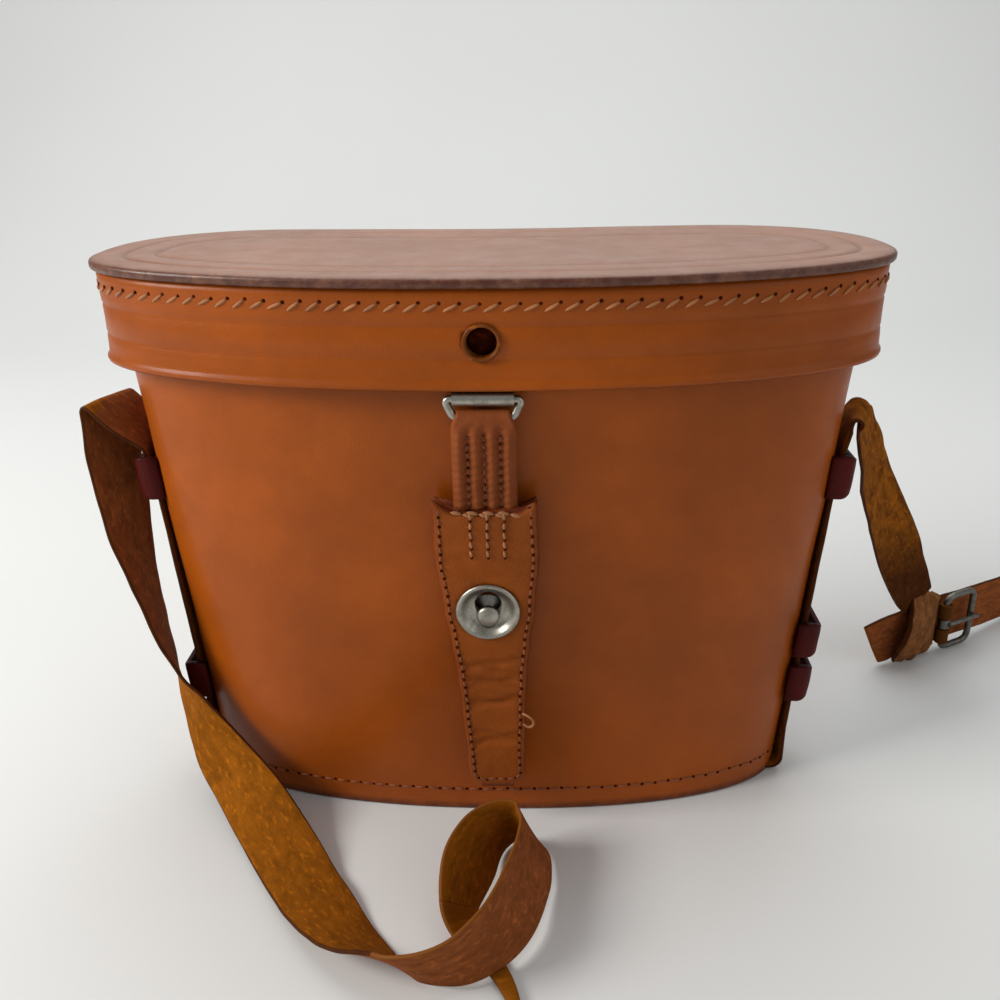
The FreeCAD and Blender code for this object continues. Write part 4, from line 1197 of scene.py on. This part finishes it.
# The carrying strap's free routes: centre from the plan's widest line, direction across, and, where
# the strap narrows, the share of its width
left_route = [
    (-91.0, 0.0, 94.5, 0, 18, 0), (-91.7, 0.0, 99.5, 0, 18, 0), (-92.2, 0.0, 103.0, 0, 18, 0),
    (-94.0, -1.2, 106.0, 3, 17.5, 0), (-97.6, -2.6, 109.8, 6, 16.5, 0),
    (-101.1, -2.0, 113.0, 6, 16.5, 0), (-101.95, -1.7, 113.6, 6, 16.5, 0),
    (-102.9, -1.35, 113.6, 6, 16.5, 0), (-103.6, -1.1, 113.0, 6, 16.5, 0),
    (-103.9, -1.0, 112.0, 6, 16.5, 0), (-103.8, -1.2, 109.0, 6, 16.5, 0),
    (-103.4, -1.8, 104.4, 7, 16, 0), (-103.0, -2.8, 98.5, 8, 16, -2),
    (-101.6, -4.4, 86.0, 7, 15, -6), (-100.4, -5.8, 72.0, 4, 16, -8),
    (-97.6, -8.0, 59.0, 0, 16, -8), (-93.8, -10.6, 45.0, -2, 15, -10),
    (-90.4, -12.4, 35.0, -5, 14, -10), (-86.8, -14.6, 26.5, -9, 9, -12),
    (-80.0, -21.0, 16.4, -12, 1, -13), (-71.6, -28.6, 10.8, -13, -3, -12),
    (-64.0, -36.6, 7.2, -14, -6, -9), (-55.2, -47.2, 3.4, -12, -13, -4),
    (-46.8, -59.0, 2.2, -9, -16, 1), (-39.0, -70.0, 3.2, -6, -16, 4),
    (-31.0, -79.4, 4.4, -3, -15, 8), (-23.0, -86.0, 6.6, 0, -12, 13),
    (-16.0, -90.8, 9.0, 0, -8, 16), (-8.0, -90.6, 10.4, -3, -5, 17),
    (-0.6, -85.8, 11.0, -6, -3, 17), (5.8, -77.0, 10.8, -9, -4, 15),
    (9.8, -64.2, 9.6, -9, -5, 14.5), (11.8, -53.4, 9.4, -8, -6, 15), (11.2, -47.0, 9.4, -6, -6, 16),
    (7.6, -43.2, 9.6, -3, -6, 17), (3.2, -44.8, 9.6, -4, -4, 17), (-1.0, -49.6, 9.6, -8, -1, 15.5),
    (-3.8, -55.2, 9.4, -10, 0, 14.5), (-5.8, -61.4, 8.8, -10, -2, 14, 0.98),
    (-6.8, -67.4, 7.2, -10, -3, 13, 0.8), (-6.4, -71.8, 4.4, -12, -4, 11, 0.6),
    (-3.4, -76.0, 2.0, -15, 6, 5, 0.42), (1.4, -80.6, 1.4, -13, 12, 1, 0.3),
    (5.0, -86.6, 1.4, -16, 8, 0, 0.24), (7.4, -93.0, 1.4, -17, 6, 0, 0.16),
    (8.8, -98.0, 1.4, -17, 5, 0, 0.06)]
right_route = [
    (91.0, 0.0, 94.5, 0, 18, 0), (91.7, 0.0, 99.5, 0, 18, 0), (92.3, 0.1, 102.6, 0, 18, 0),
    (93.2, 0.6, 104.8, 2, 18, 0), (94.5, 0.8, 107.2, 4, 17.5, 0), (95.3, 0.75, 108.0, 5, 17, 0),
    (96.3, 0.65, 108.2, 6, 17, 0), (97.2, 0.6, 107.8, 7, 16.5, 0), (97.8, 0.6, 106.8, 8, 16, 0),
    (98.8, 0.8, 104.4, 9, 15.5, 0), (100.4, 2.2, 100.4, 8.4, 15.6, 0), (102.8, 5.0, 95.0, 9, 15, 1),
    (107.4, 13.0, 85.0, 10, 14.5, 2), (113.8, 20.6, 73.0, 11.5, 13, 2),
    (121.4, 29.4, 60.0, 13.5, 11, 2), (128.6, 37.6, 47.0, 14, 10, 1),
    (135.2, 44.6, 35.0, 13, 10, 0, 0.95), (140.6, 50.6, 26.6, 12, 9, 0, 0.82),
    (143.3, 53.9, 22.9, 11, 9, 0, 0.7)]
tail_heading = Vector((0.87, 0.49, 0)).normalized()
tail_side = Vector((-tail_heading.y, tail_heading.x, 0))
tail_start = Vector((131.0, 48.4 + widest_y, 10.4))
tail_route = ((-4.5, 0.8, -1.0), (2, 0.4, -0.2), (10, 0, 1.0), (22, 0, 1.6), (34, 0, 1.6),
              (48, 0.4, 0.8), (62, 1.6, 0))
tail_end = ((191.8, 86.0, 9.6), (201.0, 95.0, 9.5), (206.0, 106.0, 9.4))


def tail_place(length, side, rise):
    """Place along the strap's tail: forward, to its far side, and up."""
    return tail_start + tail_heading * length + tail_side * side + UP * rise


def spline_points(points):
    """Smooth line through given control points."""
    data = bpy.data.curves.new("route", "CURVE")
    data.dimensions = "3D"
    spline = data.splines.new("NURBS")
    spline.points.add(len(points) - 1)
    for spot, point in zip(spline.points, points):
        spot.co = (*(point * MM), 1)
    spline.order_u = 3
    spline.use_endpoint_u = True
    spline.resolution_u = 10
    holder = linked("route", data)
    found = [vertex.co / MM for vertex in baked(holder).vertices]
    bpy.data.objects.remove(holder)
    return found


def route_stations(rows):
    """Stations of a strap from its route rows, whose middle and one edge become smooth lines."""
    centres = [Vector((x, y + widest_y, z)) for x, y, z, *_ in rows]
    edges = []
    for centre, row in zip(centres, rows):
        share = row[6] if len(row) > 6 else 1
        edges.append(centre + Vector(row[3:6]).normalized() * carry_half * share)
    return stations_between(spline_points(centres), spline_points(edges))


def stations_between(middle, side):
    """Stations of a strap from its middle line and one edge line."""
    stations = []
    for index, (centre, edge) in enumerate(zip(middle, side)):
        along = heading(middle, index)
        across = edge - centre
        half = across.length
        through = along.cross(across).normalized()
        across = through.cross(along).normalized()
        stations.append((centre, across, through, half))
    return stations


def wavy(share, u, point):
    """Slight cup and waver of a worn strap."""
    return 0.35 * (u * u - 0.4) + uneven(point, 0.35, 8)


class CASE_OT_carry_strap(bpy.types.Operator):
    """Makes the carrying strap: the run round the case, both falls, the front loop and the tail"""
    bl_idname = "case.carry_strap"
    bl_label = "Carrying strap"

    def execute(self, context):
        self.side_run()
        faces = ["strap_grain", "strap_edge", "strap_flesh"]
        left = route_stations(left_route)
        wide = [index for index, station in enumerate(left) if station[3] > carry_half * 0.7][-1]
        piece = band("carry_strap_left", left[:wide + 1], carry_shown, faces, wavy)
        dress(piece, "case", "strap_leather", "strap_left_fall", "strap_left_ground",
              "strap_left_loop")
        self.pale_cut(piece)
        for face in piece.data.polygons:
            near_the_top_fold = face.center.z > 98 * MM and face.center.x > -102.4 * MM
            if face.material_index == 2 and near_the_top_fold:
                face.material_index = 0
        point = band("carry_strap_point", left[wide:], carry_shown,
                     ["strap_grain", "strap_cut_new", "strap_flesh"], wavy)
        dress(point, "case", "strap_leather")
        self.declare(piece, left[:wide + 1], "bare")
        right = route_stations(right_route)
        faces_right = ["strap_flesh_darker_low", "strap_edge", "strap_grain"]
        piece = band("carry_strap_right", right, carry_shown, faces_right, wavy)
        dress(piece, "case", "strap_flesh", "strap_right_fall")
        self.declare(piece, right, "object")
        points = [tail_place(*row) for row in tail_route]
        middle = spline_points(points + [Vector((x, y + widest_y, z)) for x, y, z in tail_end])
        tail = []
        for index, centre in enumerate(middle):
            along = heading(middle, index)
            lean = 0.5 * max(0, 1 - index / 9)
            tail.append((centre, (UP - along * lean).normalized(), along.cross(UP).normalized(),
                         carry_half))
        dress(band("carry_strap_tail", tail, carry_shown, faces, wavy), "case", "strap_leather",
              "strap_tail")
        return {"FINISHED"}

    def pale_cut(self, piece):
        """Gives the cut edge round the standing loop its paler, newer look."""
        piece.data.materials.append(MATERIALS["strap_cut_new"])
        for face in piece.data.polygons:
            middle = face.center / MM
            on_the_loop = middle.y < -38 and middle.x > -24
            if face.material_index == 1 and on_the_loop:
                face.material_index = 3

    def declare(self, piece, stations, far_end):
        """Takes a free stretch and does nothing with it."""

    def side_run(self):
        """Held stretch down both sides and under the case."""
        ground = 0.4 + carry_thick / 2
        corner = 3.2
        left = [Vector((-wall_half(height) - run_gap - carry_shown / 2, widest_y, height))
                for height in between(run_top, ground + corner, 33)]
        turn_centre = left[-1] + RIGHT * corner
        left += [turn_centre - Vector((math.cos(angle), 0, math.sin(angle))) * corner
                 for angle in between(0, math.pi / 2, 8)[1:]]
        path = left + [Vector((-point.x, point.y, point.z)) for point in reversed(left)]
        across = Vector((0, 1, 0))
        stations = [(centre, across, across.cross(heading(path, index)).normalized(), carry_half)
                    for index, centre in enumerate(path)]

        def slack(share, u, point):
            return uneven(point, 0.12, 9) - u * u * held((point.z - 4) / 12)

        piece = band("carry_strap_run", stations, carry_shown * 0.9,
                     ["strap_grain", "strap_edge", "strap_flesh"], slack, across_count=7)
        dress(piece, "case", "strap_leather", "strap_side_run")


class CASE_OT_knot(bpy.types.Operator):
    """Makes the knot round the tail, and the buckle with its prong and chape"""
    bl_idname = "case.knot"
    bl_label = "Knot and buckle"

    def execute(self, context):
        self.knot()
        self.buckle()
        return {"FINISHED"}

    def knot(self):
        """Turn of the strap round its own tail, pinched, with a fold laid across it."""
        centre = tail_place(17.0, 0, 1.2)
        thick = carry_thick + 0.5
        tall = carry_half + 0.5 + carry_thick / 2
        corners = [centre + tail_side * (x * thick) + UP * (z * tall)
                   for x, z in ((-1, -1), (1, -1), (1, 1), (-1, 1))]
        path = rounded(corners, 3.2, steps=7, closed=True)
        stations = []
        for index, point in enumerate(path):
            lean = 0.22 if (point - centre).dot(tail_side) < 0 else -0.22
            across = (tail_heading + UP * lean).normalized()
            through = across.cross(heading(path, index, closed=True)).normalized()
            stations.append((point, across, through, 5.6 + 0.7 * math.sin(index * 0.7)))

        def folds(share, u, point):
            return 0.3 * math.cos(u * 5.5 + share * 7) + uneven(point, 0.5, 4)

        faces = ["knot", "strap_edge", "knot"]
        piece = band(
            "knot_turn", stations, carry_thick, faces, folds, across_count=13, path_closed=True)
        dress(piece, "case", "strap_flesh", "strap_knot")
        rows = ((13.6, -0.6, 15.0, 5.8), (13.4, -2.6, 12.0, 6.2), (12.4, -4.8, 8.0, 6.2),
                (10.4, -6.0, 3.6, 6.0), (8.0, -6.0, -0.8, 5.6), (6.8, -4.8, -4.6, 4.8),
                (7.6, -2.6, -8.6, 3.6))
        centres = [tail_place(length, out, rise) for length, out, rise, _ in rows]
        edges = [centre + (tail_heading * 0.9 - UP * 0.42).normalized() * half
                 for centre, (_, _, _, half) in zip(centres, rows)]
        crossing = stations_between(spline_points(centres), spline_points(edges))
        dress(band("knot_fold", crossing, carry_thick, faces, folds), "case", "strap_flesh")

    def buckle(self):
        """Wire frame, prong and folded chape."""
        wire_half = 1.1
        bar_at = -6.8
        fold_radius = 2.25

        def place(length, rise):
            return tail_place(length + 32.35, -(carry_thick / 2 + 0.3 + fold_radius), 1.4 + rise)

        corners = [place(bar_at, -10), place(-bar_at, -10), place(-bar_at, 10), place(bar_at, 10)]
        ring = tube("buckle_wire_bent", rounded(corners, 3.4, closed=True), wire_half,
                    ["nickel_tarnish_and_shade"], closed=True)
        dress(ring, "case", "nickel", "buckle_frame")
        middle = place(bar_at, 0)
        front = -tail_side * 1.95
        eye = [(1.2, -1.8), (1.95, -1.7), (2.0, -1.4), (2.0, 1.4), (1.95, 1.7), (1.2, 1.8)]
        barrel = lathe("prong_rolled", eye, middle, UP, ["nickel_tarnish_and_shade"], steps=28)
        pin = tube("prong_pin",
                   [middle + front + tail_heading * length for length in between(0.4, 15.0, 8)],
                   0.8, ["nickel_tarnish_and_shade"])
        shape = bmesh.new()
        shape.from_mesh(barrel.data)
        shape.from_mesh(pin.data)
        shape.to_mesh(barrel.data)
        shape.free()
        bpy.data.objects.remove(pin)
        dress(barrel, "prong", "nickel", "buckle_prong")
        profile = [(1.15, 2.1), (2.1, 2.15), (fold_radius, 2.5), (fold_radius, 7.1), (2.1, 7.5),
                   (1.15, 7.55)]
        for name, way, nodes in (
                ("chape_fold_low", -UP, ["buckle_chape"]), ("chape_fold_high", UP, [])):
            dress(lathe(name, profile, middle, way, ["strap_edge"], steps=28), "case",
                  "strap_flesh", *nodes)


class CASE_OT_stitches(bpy.types.Operator):
    """Sews the lid, the base, the latch, the tab and the back hinge"""
    bl_idname = "case.stitches"
    bl_label = "Stitches"

    def execute(self, context):
        sizes = context.scene.case_sizes
        self.lid(sizes.lid_pitch / MM)
        self.case(sizes.base_pitch / MM)
        self.latch(sizes.border_pitch / MM)
        self.tab()
        return {"FINISHED"}

    def hinge_row(self, low, high, on_lid, seed):
        """Row round a leaf of the back hinge, up from one height, across at the other and down."""
        half = 27.5
        spots = [(-half, height) for height in between(low, high, 12)]
        spots += [(x, high) for x in between(-half, half, 30)[1:]]
        spots += [(half, height) for height in between(high, low, 12)[1:]]
        points = [Vector((x, CASE_OT_hinge.back_y(x, height, on_lid) + 1.6, height))
                  for x, height in spots]
        return stitch_row(points, 3.0, 2.4, 0.7, [Vector((0, 1, 0))] * len(points), hole=0.5,
                          jitter=0.06, thread="dark_thread", seed=seed)

    def lid(self, pitch):
        """Slanted stitches under the lid's top, and the hinge's upper leaf."""
        points = []
        outs = []
        for turn in lid_turns:
            spot, outward = outline(lid_plan, turn, 0.15)
            points.append(Vector((spot.x, spot.y, 145.4 + uneven(spot, 0.5, 40))))
            outs.append(outward)
        rows = [stitch_row(points, pitch, 3.8, 0.8, outs, closed=True, slant=0.5, stand=0.05,
                           thread="thread")]
        rows.append(self.hinge_row(130.5, 140.5, True, 0))
        dress(join_rows("lid_stitches", rows), "lid", "saddle_leather")

    def case(self, pitch):
        """Stitches round the base, and the hinge's lower leaf."""
        points = [body_place(turn, 7.4, -0.02) for turn in lid_turns]
        outs = [outline(lid_plan, turn)[1] for turn in lid_turns]
        rows = [
            stitch_row(points, pitch, 2.3, 0.6, outs, closed=True, stand=0.08, hole=1.0, seed=1)]
        rows.append(self.hinge_row(116.5, 100.5, False, 2))
        dress(join_rows("base_stitches", rows), "case", "saddle_leather")

    def latch(self, pitch):
        """Border of the latch strap, three short rows, and the bars at its dip."""
        border = [
            (latch_half(distance) - border_inset, distance) for distance in between(22.5, 104, 59)]
        turned = [(-x, distance) for x, distance in border] + border[::-1]
        places = [on_latch(x + latch_skew(distance), distance, 1.72 + pocket(distance))
                  for x, distance in turned]
        rows = [stitch_row(places, pitch, 1.6, 0.6, stand=0.05, jitter=0.15, seed=3)]
        for x in (-3.6, 0.4, 4.4):
            places = [on_latch(x, distance, 1.95 + pocket(distance))
                      for distance in between(23.5, 33.5, 10)]
            rows.append(
                stitch_row(places, 2.3, 1.9, 0.75, hole=0.8, jitter=0.2, thread="thread", seed=4))
        for x in (-5.4, -1.6, 2.2, 5.8):
            places = [on_latch(x + 1.4 * step, 23.0 + 0.3 * step, 2.9) for step in (-1, 0, 1)]
            rows.append(stitch_row(places, 2.7, 2.9, 0.95, stand=0.2, hole=0.9, jitter=0.06,
                                   thread="thread", seed=5))
        dress(join_rows("latch_stitches", rows), "latch", "saddle_leather")
        start = on_latch(latch_skew(83) + 7.4, 82.0, 1.9)
        loose = [start + RIGHT * across + DOWN * down + OUT * out
                 for across, down, out in ((0, 0, 0), (1.6, 0.2, 0.8), (2.9, 1.6, 0.9),
                                           (2.8, 3.4, 0.7), (1.4, 4.2, 0.5), (0.2, 3.2, 0.2))]
        thread = tube("loose_thread", spline_points(loose), 0.32, ["thread"], sides=8)
        dress(thread, "latch", "saddle_leather")

    def tab(self):
        """Zigzag rows between the tab's channels."""
        rows = []
        for x in (-3.8, 0.0, 3.8):
            places = [on_latch(x, distance, 1.12) for distance in between(2.5, 21, 20)]
            for slant, seed in ((0.75, 6), (-0.75, 7)):
                rows.append(stitch_row(places, 1.9, 2.2, 0.6, slant=slant, stand=0.2, jitter=0.25,
                                       seed=seed))
        blend_down_latch(join_rows("tab_stitches", rows))


class CASE_OT_stage(bpy.types.Operator):
    """Makes the floor with its backdrop, the lamps, the pale world and the camera"""
    bl_idname = "case.stage"
    bl_label = "Stage"

    def execute(self, context):
        self.floor(context.scene.case_colours)
        self.lamps()
        self.world()
        self.camera(context.scene)
        context.scene.view_settings.view_transform = "Standard"
        return {"FINISHED"}

    def floor(self, colours):
        """Pale floor that curves up into a backdrop."""
        material, tree, surface = shader("stage_card_matt", Roughness=0.9, IOR=1.3)
        place = add(tree, "ShaderNodeTexCoord").outputs["Object"]
        cloud = add(tree, "ShaderNodeTexNoise", {"Vector": place, "Scale": 3.0}).outputs["Fac"]
        pale = list(colours.floor)
        paint(tree, surface, veiled(tree, shade(pale, 0.97), pale, cloud, 0.3, 0.7))
        MATERIALS["stage"] = material
        bend = 500
        curve = [(bend + bend * math.sin(turn), bend - bend * math.cos(turn))
                 for turn in between(0, math.pi / 2, 12)]
        profile = [(-1500, 0), *curve, (2 * bend, 2500)]
        rings = [[Vector((x, y, z)) for y, z in profile] for x in (-2200, 2200)]
        floor = skin("stage_floor", rings, ["stage"], ring_closed=False, caps=False)
        if floor.data.polygons[0].normal.z < 0:
            floor.data.flip_normals()

    def lamps(self):
        """Soft window light from the left, and a weaker fill from the right and above."""
        for name, place, size, energy, colour in (
                ("lamp_window", (-0.8, -0.3, 0.55), 0.36, 7.8, (1.0, 0.98, 0.95)),
                ("lamp_sky", (0.0, 0.45, 1.1), 1.2, 8.2, (0.97, 0.99, 1.0)),
                ("lamp_fill", (0.8, -0.4, 0.5), 0.8, 1.3, (1.0, 0.98, 0.96))):
            data = bpy.data.lights.new(name, "AREA")
            data.size = size
            data.energy = energy
            data.color = colour
            lamp = linked(name, data)
            lamp.location = place
            aim = Vector((0, 0, 0.07)) - Vector(place)
            lamp.rotation_euler = aim.to_track_quat("-Z", "Y").to_euler()

    def world(self):
        """Even, dim surroundings in front of the pale floor and backdrop."""
        world = bpy.data.worlds.new("pale_room")
        bpy.context.scene.world = world
        world.use_nodes = True
        tree = world.node_tree
        tree.nodes.clear()
        pale = {"Color": linear("#eef2f4"), "Strength": 0.34}
        light = add(tree, "ShaderNodeBackground", pale)
        add(tree, "ShaderNodeOutputWorld", {"Surface": light.outputs[0]})

    def camera(self, scene):
        """Lens at the photographed view: above the front, looking down."""
        place = Vector((12.2, -252.0 + widest_y, 190.7)) * MM
        down, roll, yaw = (math.radians(angle) for angle in (22.35, -0.92, -2.33))
        look = Vector(
            (math.sin(yaw) * math.cos(down), math.cos(yaw) * math.cos(down), -math.sin(down)))
        level = Vector((math.cos(yaw), -math.sin(yaw), 0))
        high = level.cross(look)
        right = level * math.cos(roll) + high * math.sin(roll)
        top = high * math.cos(roll) - level * math.sin(roll)
        data = bpy.data.cameras.new("lens")
        sensor = 36.0
        data.sensor_width = sensor
        data.lens = 0.992 * sensor
        data.shift_y = -0.012
        data.clip_start = 0.01
        lens = linked("lens", data)
        turn = Matrix((right, top, -look)).transposed()
        lens.matrix_world = Matrix.Translation(place) @ turn.to_4x4()
        scene.camera = lens


class CASE_PT_panel(bpy.types.Panel):
    """Shows the case's sizes and colours, and a button for each operator."""
    bl_idname = "CASE_PT_panel"
    bl_label = "Binocular case"
    bl_space_type = "VIEW_3D"
    bl_region_type = "UI"
    bl_category = "Case"

    def draw(self, context):
        for group in (context.scene.case_sizes, context.scene.case_colours):
            for key in group.__annotations__:
                self.layout.prop(group, key)
        for operator in OPERATORS:
            self.layout.operator(operator.bl_idname)


OPERATORS = (CASE_OT_materials, CASE_OT_stage, CASE_OT_carry_strap, CASE_OT_body, CASE_OT_lid,
             CASE_OT_latch_metal, CASE_OT_latch_tab, CASE_OT_latch_strap, CASE_OT_hinge,
             CASE_OT_keepers, CASE_OT_knot, CASE_OT_stitches)
CLASSES = (CaseSizes, CaseColours, *OPERATORS, CASE_PT_panel)


def register():
    for item in CLASSES:
        bpy.utils.register_class(item)
    bpy.types.Scene.case_sizes = PointerProperty(type=CaseSizes)
    bpy.types.Scene.case_colours = PointerProperty(type=CaseColours)


def unregister():
    del bpy.types.Scene.case_colours
    del bpy.types.Scene.case_sizes
    for item in reversed(CLASSES):
        bpy.utils.unregister_class(item)


def main():
    register()
    for operator in OPERATORS:
        group, name = operator.bl_idname.split(".")
        getattr(getattr(bpy.ops, group), name)()


if __name__ == "__main__":
    main()
